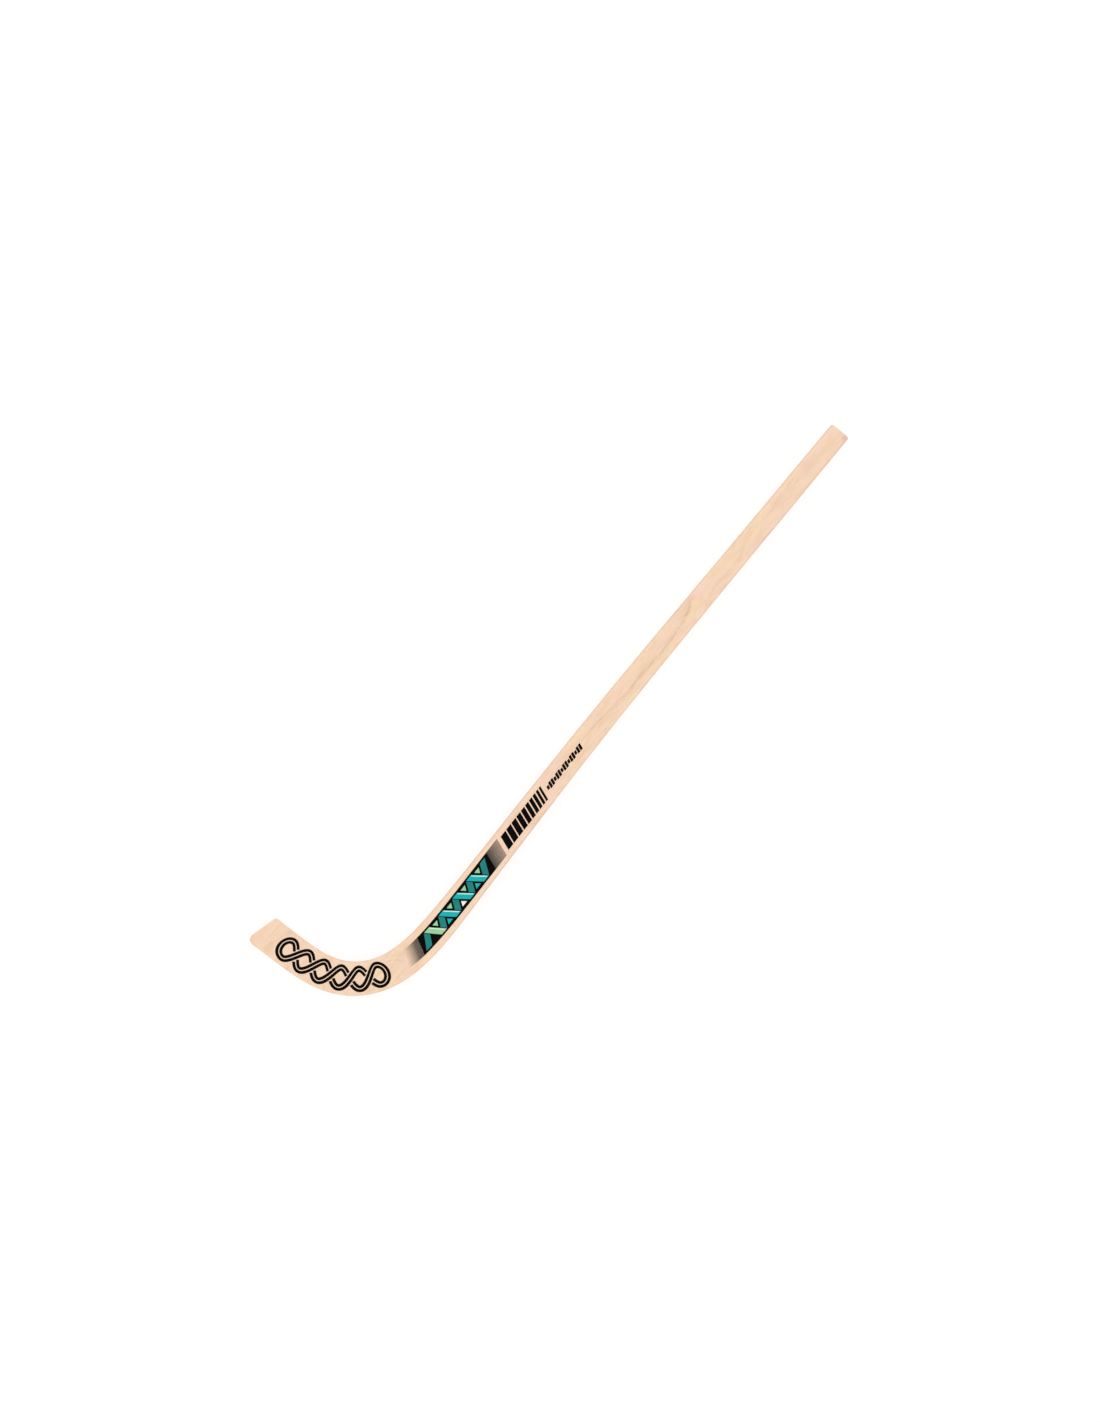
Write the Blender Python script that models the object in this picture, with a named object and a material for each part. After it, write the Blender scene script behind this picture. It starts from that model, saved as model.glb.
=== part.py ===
"""A wooden rink hockey stick, lying on one broad face.

The shaft runs along +X to the butt, the blade turns to +Y, and the thickness is along +Z.
The stick is drawn around one middle line. A spot on it is given by its place, which is the
distance from the butt along that line, by its offset across the line, plus towards the inside
of the hook, and by its height over the middle plane. Sizes are in metres, turns in degrees.
"""

import math

import bmesh
import bpy
import numpy as np
from mathutils import Vector

# Lengths along the middle line, from the butt to the toe
GRIP_LENGTH = 0.260
LOWER_SHAFT_LENGTH = 0.435
BEND_LENGTH = 0.360
BLADE_END_LENGTH = 0.027

# Turns of the middle line, plus towards the inside of the hook
LOWER_SHAFT_TURN = -1.8
BEND_TURN = 89.5
# Share of the bend's length at which it is tightest, which is at the heel
HEEL_SHARE = 0.69

# Widths across the broad face. The blade's is at the toe, and it flares a little from the heel
BUTT_WIDTH = 0.0285
GRIP_END_WIDTH = 0.0305
NECK_WIDTH = 0.0365
BLADE_WIDTH = 0.0455
BLADE_FLARE = 0.0015

# Layers of the stick, from the middle plane outwards: core, cloth and veneer
THICKNESS = 0.020
VENEER_THICKNESS = 0.0020
CLOTH_THICKNESS = 0.0005
GLUE_LINE = 0.0003

# The core is a stack of thin strips, bent together from the inner edge to the outer edge
STRIP_COUNT = 15
# Thinnest edge left on a strip where the narrowing shaft planes it away
FEATHER = 0.0004

# Roundings of the long edges, of the corners of both ends and of the ends' own edges
SHAFT_EDGE_RADIUS = 0.0060
BLADE_EDGE_RADIUS = 0.0045
BUTT_CORNER_RADIUS = 0.0030
TOE_OUTER_RADIUS = 0.0110
TOE_INNER_RADIUS = 0.0030
END_EDGE_RADIUS = 0.0015
# Turn of the toe's end from square, with its outer corner further forward
TOE_SLANT = 17.0

# Fineness of the faceted solids: cuts across the stick, and points around an edge and a corner
LONGEST_STEP = 0.090
LARGEST_TURN = 5.0
CLOSEST_CUTS = 0.0004
EDGE_STEPS = 3
CORNER_STEPS = 4
# Share of its half height up to which a trimmed strip's edge is drawn upright
SHOULDER_SHARE = 0.6
LINE_SAMPLES = 4000
SMOOTH_UP_TO = 40.0

BEND_START = GRIP_LENGTH + LOWER_SHAFT_LENGTH
HEEL = BEND_START + HEEL_SHARE * BEND_LENGTH
LENGTH = BEND_START + BEND_LENGTH + BLADE_END_LENGTH
HEEL_WIDTH = BLADE_WIDTH - BLADE_FLARE
WIDEST = max(BUTT_WIDTH, GRIP_END_WIDTH, NECK_WIDTH, HEEL_WIDTH, BLADE_WIDTH)
STRIP_THICKNESS = (WIDEST - (STRIP_COUNT - 1) * GLUE_LINE) / STRIP_COUNT
CLOTH_OUTSIDE = THICKNESS / 2 - VENEER_THICKNESS - GLUE_LINE
CLOTH_INSIDE = CLOTH_OUTSIDE - CLOTH_THICKNESS
CORE_OUTSIDE = CLOTH_INSIDE - GLUE_LINE
VENEER_INSIDE = THICKNESS / 2 - VENEER_THICKNESS

ASH = (0.760, 0.560, 0.380)
BEECH = (0.690, 0.470, 0.310)
GLASS_CLOTH = (0.720, 0.710, 0.640)


def bell(share):
    """A smooth rise and fall, from 0 at a share of 0 back to 0 at a share of 1."""
    return np.sin(np.pi * np.clip(share, 0, 1)) ** 2


def running_sum(values, step):
    """The area under evenly spaced values, from the first one up to each of them."""
    return np.concatenate([[0], np.cumsum((values[1:] + values[:-1]) / 2 * step)])


def draw_middle_line():
    """Places, points and headings along the middle line, a little past the toe."""
    places = np.linspace(0, LENGTH + WIDEST, LINE_SAMPLES)
    step = places[1]
    power = math.log(0.5) / math.log(HEEL_SHARE)
    bow = bell((places - GRIP_LENGTH) / LOWER_SHAFT_LENGTH)
    bend = bell(np.clip((places - BEND_START) / BEND_LENGTH, 0, 1) ** power)
    turning = sum(
        math.radians(turn) * shape / (shape.sum() * step)
        for turn, shape in ((LOWER_SHAFT_TURN, bow), (BEND_TURN, bend))
    )
    # The line leaves the butt along -X, and the inside of the hook lies to its right
    headings = math.pi - running_sum(turning, step)
    points = [running_sum(wave(headings), step) for wave in (np.cos, np.sin)]
    return places, points, headings


LINE_PLACES, LINE_POINTS, LINE_HEADINGS = draw_middle_line()


def eased(knots, values, place):
    """A smooth curve through the values at the knots, which never overshoots them."""
    knots = np.array(knots)
    values = np.array(values)
    rises = np.diff(values) / np.diff(knots)
    slopes = np.concatenate([rises[:1], np.zeros(len(rises) - 1), rises[-1:]])
    for i in range(1, len(rises)):
        if rises[i - 1] * rises[i] > 0:
            slopes[i] = 2 / (1 / rises[i - 1] + 1 / rises[i])
    i = min(max(int(np.searchsorted(knots, place)) - 1, 0), len(rises) - 1)
    span = knots[i + 1] - knots[i]
    t = min(max((place - knots[i]) / span, 0), 1)
    start = (1 + 2 * t) * (1 - t) ** 2 * values[i] + t * (1 - t) ** 2 * span * slopes[i]
    end = (3 - 2 * t) * t**2 * values[i + 1] - (1 - t) * t**2 * span * slopes[i + 1]
    return start + end


def rounding(distance, radius):
    """How far a round corner draws a side in, at a distance from the end that it meets."""
    reach = min(max(distance, 0), radius)
    return radius - math.sqrt(radius**2 - (radius - reach) ** 2)


def half_width(place, side):
    """From the middle line to the edge, on the inner side (1) or the outer side (-1)."""
    knots = (0, GRIP_LENGTH, BEND_START, HEEL, LENGTH)
    widths = (BUTT_WIDTH, GRIP_END_WIDTH, NECK_WIDTH, HEEL_WIDTH, BLADE_WIDTH)
    toe_radius = TOE_INNER_RADIUS if side > 0 else TOE_OUTER_RADIUS
    corners = rounding(place, BUTT_CORNER_RADIUS) + rounding(LENGTH - place, toe_radius)
    return eased(knots, widths, place) / 2 - corners


def half_thickness(place):
    """From the middle plane to the broad face, which dips at the rounded ends."""
    ends = rounding(place, END_EDGE_RADIUS) + rounding(LENGTH - place, END_EDGE_RADIUS)
    return THICKNESS / 2 - ends


def edge_radius(place):
    """Rounding of the long edge, no larger than half the thickness."""
    radii = (SHAFT_EDGE_RADIUS, SHAFT_EDGE_RADIUS, BLADE_EDGE_RADIUS, BLADE_EDGE_RADIUS)
    wanted = eased((0, BEND_START, HEEL, LENGTH), radii, place)
    return min(wanted, half_thickness(place))


def edge_at(place, side, height):
    """Distance from the middle line to the rounded edge, at a height."""
    radius = edge_radius(place)
    past = min(max(abs(height) - (half_thickness(place) - radius), 0), radius)
    return half_width(place, side) - radius + math.sqrt(radius**2 - past**2)


def height_at(place, side, distance):
    """Height at which the rounded edge is this far from the middle line."""
    radius = edge_radius(place)
    past = min(max(distance - (half_width(place, side) - radius), 0), radius)
    return half_thickness(place) - radius + math.sqrt(radius**2 - past**2)


def spot(place, offset, height):
    """The point of a cut across the stick. The cuts lean near the toe, to end on its slant."""
    lean_start = LENGTH - BLADE_WIDTH
    t = min(max((place - lean_start) / (LENGTH - lean_start), 0), 1)
    lean = math.tan(math.radians(TOE_SLANT)) * (3 - 2 * t) * t**2
    along = place - lean * offset
    x, y = (float(np.interp(along, LINE_PLACES, values)) for values in LINE_POINTS)
    heading = float(np.interp(along, LINE_PLACES, LINE_HEADINGS))
    return Vector((x + offset * math.sin(heading), y - offset * math.cos(heading), height))


def cut_places():
    """Places of the cuts that all pieces share: close where the stick turns and at its ends."""
    turned = np.abs(np.diff(LINE_HEADINGS)) / math.radians(LARGEST_TURN)
    moved = np.diff(LINE_PLACES) / LONGEST_STEP
    steps = np.concatenate([[0], np.cumsum(np.hypot(turned, moved))])
    whole = float(np.interp(LENGTH, LINE_PLACES, steps))
    count = math.ceil(whole)
    evenly = [float(np.interp(whole * i / count, steps, LINE_PLACES)) for i in range(count + 1)]
    waves = [1 - math.cos(math.pi / 2 * i / CORNER_STEPS) for i in range(CORNER_STEPS + 1)]
    butt = [BUTT_CORNER_RADIUS * wave for wave in waves]
    toe = [LENGTH - max(TOE_OUTER_RADIUS, TOE_INNER_RADIUS) * wave for wave in waves]
    between = [place for place in evenly if butt[-1] < place < toe[-1]]
    return butt + between + toe[::-1]


CUTS = cut_places()


def cuts_within(first, last):
    """The shared cuts between two places, and a cut at each of them."""
    inside = [place for place in CUTS if first + CLOSEST_CUTS < place < last - CLOSEST_CUTS]
    return [first, *inside, last]


def layer_rings(inside, levels, face):
    """Cuts through a sheet that starts at a height and spans the stick from edge to edge."""
    rings = []
    for place in CUTS:
        heights = [face * height for height in levels(place, inside)]
        inner = [spot(place, edge_at(place, 1, height), height) for height in heights]
        outer = [spot(place, -edge_at(place, -1, height), height) for height in heights]
        rings.append(inner + outer[::-1])
    return rings


def veneer_levels(place, inside):
    """Heights from a veneer's glued face to its broad face, evenly spaced around the edge."""
    radius = edge_radius(place)
    middle = half_thickness(place) - radius
    first = math.asin(min(max((inside - middle) / radius, 0), 1))
    angles = [first + (math.pi / 2 - first) * i / EDGE_STEPS for i in range(EDGE_STEPS + 1)]
    return [max(inside, middle + radius * math.sin(angle)) for angle in angles]


def cloth_levels(place, inside):
    """The two faces of the cloth, level all along the stick."""
    return [inside, inside + CLOTH_THICKNESS]


def strip_reach(near, side):
    """The first and the last place where the stick is wide enough to hold a strip."""
    held = [place for place in CUTS if half_width(place, side) >= near + FEATHER]
    ends = []
    for end, step in ((held[0], -1), (held[-1], 1)):
        beyond = CUTS.index(end) + step
        if not 0 <= beyond < len(CUTS):
            ends.append(end)
            continue
        inside, outside = end, CUTS[beyond]
        while abs(outside - inside) > CLOSEST_CUTS / 10:
            middle = (inside + outside) / 2
            if half_width(middle, side) >= near + FEATHER:
                inside = middle
            else:
                outside = middle
        ends.append(inside)
    return ends


def strip_rings(near, far, side):
    """Cuts through a core strip, which the stick's rounded edge trims where it reaches it."""
    rings = []
    for place in cuts_within(*strip_reach(near, side)):
        top = min(CORE_OUTSIDE, height_at(place, side, near + FEATHER))
        shoulder = top * SHOULDER_SHARE
        trimmed = [min(far, edge_at(place, side, height)) for height in (top, shoulder)]
        outline = [(near, -top), (near, top), (trimmed[0], top), (trimmed[1], shoulder)]
        outline += [(trimmed[1], -shoulder), (trimmed[0], -top)]
        rings.append([spot(place, side * offset, height) for offset, height in outline])
    return rings


def loft(name, rings, material, frame):
    """A closed body through a row of cuts with equal numbers of points."""
    body = bmesh.new()
    loops = [[body.verts.new(point) for point in ring] for ring in rings]
    for first, second in zip(loops, loops[1:]):
        for i in range(len(first)):
            body.faces.new((first[i - 1], first[i], second[i], second[i - 1]))
    body.faces.new(loops[0])
    body.faces.new(loops[-1])
    bmesh.ops.recalc_face_normals(body, faces=body.faces)
    mesh = bpy.data.meshes.new(name)
    body.to_mesh(mesh)
    body.free()
    mesh.shade_smooth()
    mesh.set_sharp_from_angle(angle=math.radians(SMOOTH_UP_TO))
    mesh.materials.append(material)
    piece = bpy.data.objects.new(name, mesh)
    bpy.context.scene.collection.objects.link(piece)
    piece.parent = frame
    return piece


def finish(name, colour, roughness):
    """A plain Principled material."""
    material = bpy.data.materials.new(name)
    material.use_nodes = True
    shader = material.node_tree.nodes["Principled BSDF"]
    shader.inputs["Base Color"].default_value = (*colour, 1)
    shader.inputs["Roughness"].default_value = roughness
    shader.inputs["Metallic"].default_value = 0
    return material


def make_core(frame):
    """The bent strips, numbered from the inside of the hook to the outside."""
    pitch = STRIP_THICKNESS + GLUE_LINE
    timbers = (("ash", ASH), ("beech", BEECH))
    pieces = []
    for i in range(STRIP_COUNT):
        middle = ((STRIP_COUNT - 1) / 2 - i) * pitch
        side = 1 if middle >= 0 else -1
        near = abs(middle) - STRIP_THICKNESS / 2
        name = f"core_strip_{i + 1:02d}"
        timber, colour = timbers[i % len(timbers)]
        rings = strip_rings(near, near + STRIP_THICKNESS, side)
        pieces.append(loft(name, rings, finish(f"{timber}_{i + 1:02d}", colour, 0.45), frame))
    return pieces


def make_faces(frame):
    """On each broad face, a glass cloth under a face veneer of flat-sawn ash."""
    pieces = []
    for side, face in (("front", 1), ("back", -1)):
        cloth = layer_rings(CLOTH_INSIDE, cloth_levels, face)
        veneer = layer_rings(VENEER_INSIDE, veneer_levels, face)
        cloth_finish = finish(f"{side}_glass_cloth", GLASS_CLOTH, 0.35)
        veneer_finish = finish(f"{side}_face_ash", ASH, 0.38)
        pieces.append(loft(f"{side}_glass_cloth", cloth, cloth_finish, frame))
        pieces.append(loft(f"{side}_face_veneer", veneer, veneer_finish, frame))
    return pieces


def centre_on_floor(frame, pieces):
    """Puts the stick's box over the origin, with its back face on the floor."""
    points = np.array([vertex.co for piece in pieces for vertex in piece.data.vertices])
    middle = (points.min(axis=0) + points.max(axis=0)) / 2
    frame.location = (-middle[0], -middle[1], THICKNESS / 2)


def main():
    for thing in list(bpy.data.objects):
        bpy.data.objects.remove(thing, do_unlink=True)
    frame = bpy.data.objects.new("stick_frame", None)
    bpy.context.scene.collection.objects.link(frame)
    pieces = make_core(frame) + make_faces(frame)
    centre_on_floor(frame, pieces)


main()
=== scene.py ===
# %% [markdown]
# # A wooden rink hockey stick
#
# The stick is a sandwich. Thin strips of ash and beech are bent together and glued to make the
# core, a glass cloth stiffens each broad side of it, and a sheet of pale ash covers each cloth.
# The solids of those pieces are loaded first, because they settle every size and place. This
# lesson then gives each of them a fine surface, a real finish and the print on top.

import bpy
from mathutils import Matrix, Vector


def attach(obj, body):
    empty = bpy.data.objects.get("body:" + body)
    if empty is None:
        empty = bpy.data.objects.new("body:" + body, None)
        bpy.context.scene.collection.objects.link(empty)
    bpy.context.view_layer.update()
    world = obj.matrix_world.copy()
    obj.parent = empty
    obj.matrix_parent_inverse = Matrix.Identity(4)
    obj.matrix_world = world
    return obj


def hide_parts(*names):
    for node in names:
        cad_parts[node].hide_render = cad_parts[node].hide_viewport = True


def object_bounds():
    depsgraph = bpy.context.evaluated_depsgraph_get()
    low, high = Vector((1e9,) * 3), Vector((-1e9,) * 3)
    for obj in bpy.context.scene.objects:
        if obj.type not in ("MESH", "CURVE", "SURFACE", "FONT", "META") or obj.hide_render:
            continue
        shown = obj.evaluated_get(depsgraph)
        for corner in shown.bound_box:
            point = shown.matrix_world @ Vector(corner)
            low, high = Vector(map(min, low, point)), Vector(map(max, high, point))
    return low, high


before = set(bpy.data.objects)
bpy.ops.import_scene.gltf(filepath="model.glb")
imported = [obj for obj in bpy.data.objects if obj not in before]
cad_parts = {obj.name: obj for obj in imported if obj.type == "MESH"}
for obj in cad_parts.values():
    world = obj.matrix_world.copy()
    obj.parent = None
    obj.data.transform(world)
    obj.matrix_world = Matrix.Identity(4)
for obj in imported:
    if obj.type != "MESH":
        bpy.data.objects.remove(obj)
solid_low, solid_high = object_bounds()
print(f"{len(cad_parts)} solids, {(solid_high - solid_low).x:.4f} m long")

# %% Modules
import math

import bmesh
import bpy
import numpy as np
from mathutils import Vector

MM = 0.001
print("Blender", bpy.app.version_string)

# %% [markdown]
# ## Camera
#
# The photograph looks straight down on the broad face, from so far that it has next to no
# perspective. A camera close by would show one narrow edge more than the other, so this one
# hangs high up with a long lens. The picture is 1100 by 1422 pixels, and its scale was measured.

# %% Camera
PHOTO_HEIGHT = 1422
METRES_PER_PIXEL = 0.0012750
CAMERA_HEIGHT = 8.0
CAMERA_ROLL = -50.31
PICTURE_MIDDLE = (-0.01985, -0.01178)
SENSOR = 36.0
CLIP_END = 32.0

lens = bpy.data.cameras.new("camera")
lens.sensor_width = SENSOR
lens.lens = SENSOR * CAMERA_HEIGHT / (PHOTO_HEIGHT * METRES_PER_PIXEL)
lens.clip_end = CLIP_END
camera = bpy.data.objects.new("camera", lens)
camera.location = (*PICTURE_MIDDLE, (solid_high.z - solid_low.z) / 2 + CAMERA_HEIGHT)
camera.rotation_euler = (0, 0, math.radians(CAMERA_ROLL))
scene = bpy.context.scene
scene.collection.objects.link(camera)
scene.camera = camera
print(f"lens of {lens.lens:.1f} mm")

# %% [markdown]
# ## Nodes from code
#
# Blender's node trees, for geometry and for finishes alike, are built here by a few short
# helpers. One adds a node and fills its inputs, with plain values or with links. The others give
# a tree its named inputs and outputs, and write the sums that are needed again and again.

# %% Helpers for node trees
NUMBER = "NodeSocketFloat"
WHOLE = "NodeSocketInt"
VECTOR = "NodeSocketVector"
SHAPE = "NodeSocketGeometry"


def fill(tree, socket, value):
    """Links a socket to another one, or gives it a plain value."""
    if isinstance(value, bpy.types.NodeSocket):
        tree.links.new(value, socket)
    else:
        socket.default_value = value


def add(tree, kind, inputs=None, **settings):
    """Adds a node with its settings, and fills its inputs by name or number."""
    made = tree.nodes.new(kind)
    for name, value in settings.items():
        setattr(made, name, value)
    for key, value in (inputs or {}).items():
        fill(tree, made.inputs[key], value)
    return made


def open_tree(name, kind, inputs, outputs):
    """A new tree with named inputs, as name: (socket type, value), and named outputs."""
    tree = bpy.data.node_groups.new(name, kind)
    for label, (socket_type, value) in inputs.items():
        socket = tree.interface.new_socket(label, in_out="INPUT", socket_type=socket_type)
        if value is not None:
            socket.default_value = value
    for label, socket_type in outputs.items():
        tree.interface.new_socket(label, in_out="OUTPUT", socket_type=socket_type)
    given = tree.nodes.new("NodeGroupInput").outputs
    return tree, given, tree.nodes.new("NodeGroupOutput").inputs


print("tree helpers ready")

# %% Sums inside a tree
def maths(tree, operation, *values):
    """One sum of the Math node."""
    return add(tree, "ShaderNodeMath", dict(enumerate(values)), operation=operation).outputs[0]


def times(tree, value, *factors):
    """A value times one factor after another."""
    for factor in factors:
        value = maths(tree, "MULTIPLY", value, factor)
    return value


def minus(tree, value, *others):
    """A value less one other after another."""
    for other in others:
        value = maths(tree, "SUBTRACT", value, other)
    return value


def mapped(tree, value, low, high, to_low=0.0, to_high=1.0, kind="LINEAR"):
    """A value moved from one range to another and held inside it."""
    inputs = {"Value": value, "From Min": low, "From Max": high, "To Min": to_low}
    made = add(tree, "ShaderNodeMapRange", {**inputs, "To Max": to_high}, interpolation_type=kind)
    return made.outputs["Result"]


def vectors(tree, operation, *values):
    """One sum of the Vector Math node, which gives a vector."""
    made = add(tree, "ShaderNodeVectorMath", dict(enumerate(values)), operation=operation)
    return made.outputs["Vector"]


def scaled(tree, vector, factor):
    made = add(tree, "ShaderNodeVectorMath", {0: vector, "Scale": factor}, operation="SCALE")
    return made.outputs["Vector"]


def split(tree, vector):
    """The three parts of a vector."""
    return add(tree, "ShaderNodeSeparateXYZ", {0: vector}).outputs


def vector_of(tree, **parts):
    """A vector of the parts X, Y and Z, which are zero where they aren't given."""
    return add(tree, "ShaderNodeCombineXYZ", parts).outputs[0]


print("sums ready")

# %% [markdown]
# ## Floor and light
#
# The photograph is cut out on white and lit so softly that the face is one even tone. A white
# sky gives that light, and the floor is a light table: a grey sheet that is white by its own
# glow, so that the shadow under the stick nearly vanishes and its lower edges are not dull.
# The sky is darker right overhead, as where a black card hangs around the lens, so that nothing
# white is mirrored in the lacquer and the black ink stays black. It also dims towards the
# horizon, so that the narrow edges are not as bright as the face. One large softbox high on the
# side of the blade's toe adds some direction. The plain Standard view keeps the colours as they
# are given.

# %% Sky
SKY_STRENGTH = 1.33
HORIZON_SHARE = 0.50
ZENITH_SHARE = 0.30
HORIZON_WITHIN = 35.0
DARK_WITHIN = 14.0
BRIGHT_BEYOND = 42.0
WHITE = (1, 1, 1, 1)

scene.view_settings.view_transform = "Standard"
scene.view_settings.look = "None"
sky = bpy.data.worlds.new("white_sky")
sky.use_nodes = True
sky_tree = sky.node_tree
height = split(sky_tree, add(sky_tree, "ShaderNodeTexCoord").outputs["Generated"])["Z"]
beyond, within = (math.cos(math.radians(angle)) for angle in (BRIGHT_BEYOND, DARK_WITHIN))
card = mapped(sky_tree, height, beyond, within, 1, ZENITH_SHARE, kind="SMOOTHSTEP")
low = math.sin(math.radians(HORIZON_WITHIN))
shade = mapped(sky_tree, height, 0, low, HORIZON_SHARE, 1, kind="SMOOTHSTEP")
background = sky_tree.nodes["Background"].inputs
fill(sky_tree, background["Color"], WHITE)
fill(sky_tree, background["Strength"], times(sky_tree, shade, card, SKY_STRENGTH))
scene.world = sky
print(sky.name, "has", len(sky_tree.nodes), "nodes")

# %% Softbox
SOFTBOX_SIDE = 2.6
SOFTBOX_PLACE = (-0.6, 2.2, 3.2)
SOFTBOX_POWER = 4.5

softbox_light = bpy.data.lights.new("softbox", "AREA")
softbox_light.size = SOFTBOX_SIDE
softbox_light.energy = SOFTBOX_POWER
softbox = bpy.data.objects.new("softbox", softbox_light)
softbox.location = SOFTBOX_PLACE
softbox.rotation_euler = (-Vector(SOFTBOX_PLACE)).to_track_quat("-Z", "Y").to_euler()
scene.collection.objects.link(softbox)
print(softbox.name, "hung at", SOFTBOX_PLACE)

# %% Floor
FLOOR_SIDE = 60.0
FLOOR_TONE = 0.28
FLOOR_GLOW = 0.74
FLOOR_ROUGHNESS = 0.8

half = FLOOR_SIDE / 2
corners = [(-half, -half, 0), (half, -half, 0), (half, half, 0), (-half, half, 0)]
floor_mesh = bpy.data.meshes.new("floor")
floor_mesh.from_pydata(corners, [], [(0, 1, 2, 3)])
floor = bpy.data.objects.new("floor", floor_mesh)
scene.collection.objects.link(floor)
paper = bpy.data.materials.new("white_paper")
paper.use_nodes = True
paper_shader = paper.node_tree.nodes["Principled BSDF"].inputs
paper_shader["Base Color"].default_value = (FLOOR_TONE, FLOOR_TONE, FLOOR_TONE, 1)
paper_shader["Roughness"].default_value = FLOOR_ROUGHNESS
paper_shader["Emission Color"].default_value = WHITE
paper_shader["Emission Strength"].default_value = FLOOR_GLOW
floor_mesh.materials.append(paper)
print(floor.name, "laid")

# %% [markdown]
# ## The middle line
#
# Every piece of the stick follows one line: straight in the grip, bowed a little in the lower
# shaft, then bent through a quarter turn that is tightest at the heel. How sharply it turns is
# the sum of two smooth bells, so the curve has no corner anywhere. The solids were drawn around
# the same line, and it starts where their middle strip ends at the butt.

# %% The line's lengths and turns
GRIP_LENGTH = 0.260
LOWER_SHAFT_LENGTH = 0.435
BEND_LENGTH = 0.360
BLADE_END_LENGTH = 0.027
LOWER_SHAFT_TURN = -1.8
BEND_TURN = 89.5
HEEL_SHARE = 0.69
BEND_START = GRIP_LENGTH + LOWER_SHAFT_LENGTH
HEEL = BEND_START + HEEL_SHARE * BEND_LENGTH
LENGTH = BEND_START + BEND_LENGTH + BLADE_END_LENGTH
BEYOND_THE_TOE = 0.0455
BELL_TOP = 0.5
LINE_SAMPLES = 4000


def bell(share):
    """A smooth rise and fall, from 0 at a share of 0 back to 0 at a share of 1."""
    return np.sin(np.pi * np.clip(share, 0, 1)) ** 2


def running_sum(values, step):
    return np.concatenate([[0], np.cumsum((values[1:] + values[:-1]) / 2 * step)])


def middle_line_points(start):
    """Points of the middle line, evenly spaced from the butt to a little past the toe."""
    places = np.linspace(0, LENGTH + BEYOND_THE_TOE, LINE_SAMPLES)
    step = places[1]
    power = math.log(BELL_TOP) / math.log(HEEL_SHARE)
    bow = bell((places - GRIP_LENGTH) / LOWER_SHAFT_LENGTH)
    bend = bell(np.clip((places - BEND_START) / BEND_LENGTH, 0, 1) ** power)
    turning = sum(
        math.radians(turn) * shape / (shape.sum() * step)
        for turn, shape in ((LOWER_SHAFT_TURN, bow), (BEND_TURN, bend))
    )
    headings = math.pi - running_sum(turning, step)
    x, y = (running_sum(wave(headings), step) for wave in (np.cos, np.sin))
    return np.stack([start.x + x, start.y + y, np.full(LINE_SAMPLES, start.z)], axis=1)


print(f"{LENGTH:.3f} m along the line, with {BEND_LENGTH:.3f} m of bend")

# %% The line as a curve, from the butt end of the middle strip
END_FACE = 0.01 * MM

strip_points = [vertex.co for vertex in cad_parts["core_strip_08"].data.vertices]
across = [point.y for point in strip_points if point.x > solid_high.x - END_FACE]
middle_height = (solid_low.z + solid_high.z) / 2
butt = Vector((solid_high.x, (min(across) + max(across)) / 2, middle_height))
line = bpy.data.curves.new("middle_line", "CURVE")
line.dimensions = "3D"
spline = line.splines.new("POLY")
spline.points.add(LINE_SAMPLES - 1)
spline.points.foreach_set("co", np.insert(middle_line_points(butt), 3, 1, axis=1).ravel())
middle_line = bpy.data.objects.new("middle_line", line)
scene.collection.objects.link(middle_line)
print("the line starts at", [round(value, 5) for value in butt])

# %% [markdown]
# ## The cross section
#
# Across the stick three things change along the line: the width, the rounding of the long edges,
# and the corners at both ends. The first two are smooth curves through a few sizes, and a corner
# is a quarter of a circle. A spot in the section is given by its place along the line, its offset
# across it and its height over the middle plane. Two small rooms keep these finer pieces inside
# the box of the solids. The print has a real thickness, so the wood is a tenth of a millimetre
# thinner on each side. A smooth curve also bulges a hair past a faceted one, so the edges are
# drawn in by nearly a quarter of a millimetre.

# %% Sizes across the stick
BUTT_WIDTH = 0.0285
GRIP_END_WIDTH = 0.0305
NECK_WIDTH = 0.0365
BLADE_WIDTH = 0.0455
BLADE_FLARE = 0.0015
HEEL_WIDTH = BLADE_WIDTH - BLADE_FLARE
SHAFT_EDGE_RADIUS = 0.0060
BLADE_EDGE_RADIUS = 0.0045
BUTT_CORNER_RADIUS = 0.0030
TOE_OUTER_RADIUS = 0.0110
TOE_INNER_RADIUS = 0.0030
END_EDGE_RADIUS = 0.0015
TOE_SLANT = 17.0
INK_ROOM = 0.1 * MM
CURVE_ROOM = 0.23 * MM
THICKNESS = solid_high.z - solid_low.z - 2 * INK_ROOM


def eased(knots, values, places):
    """A smooth curve through the values at the knots, which never overshoots them."""
    knots, values = np.array(knots), np.array(values)
    rises = np.diff(values) / np.diff(knots)
    slopes = np.concatenate([rises[:1], np.zeros(len(rises) - 1), rises[-1:]])
    for i in range(1, len(rises)):
        if rises[i - 1] * rises[i] > 0:
            slopes[i] = 2 / (1 / rises[i - 1] + 1 / rises[i])
    i = np.clip(np.searchsorted(knots, places) - 1, 0, len(rises) - 1)
    span = knots[i + 1] - knots[i]
    t = np.clip((places - knots[i]) / span, 0, 1)
    start = (1 + 2 * t) * (1 - t) ** 2 * values[i] + t * (1 - t) ** 2 * span * slopes[i]
    end = (3 - 2 * t) * t**2 * values[i + 1] - (1 - t) * t**2 * span * slopes[i + 1]
    return start + end


print(f"{THICKNESS / MM:.2f} mm of wood, with {CURVE_ROOM / MM:.2f} mm of room at the edges")

# %% Shape of the section
def rounding(distance, radius):
    """How far a round corner draws a side in, at a distance from the end that it meets."""
    reach = np.clip(distance, 0, radius)
    return radius - np.sqrt(radius**2 - (radius - reach) ** 2)


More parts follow.
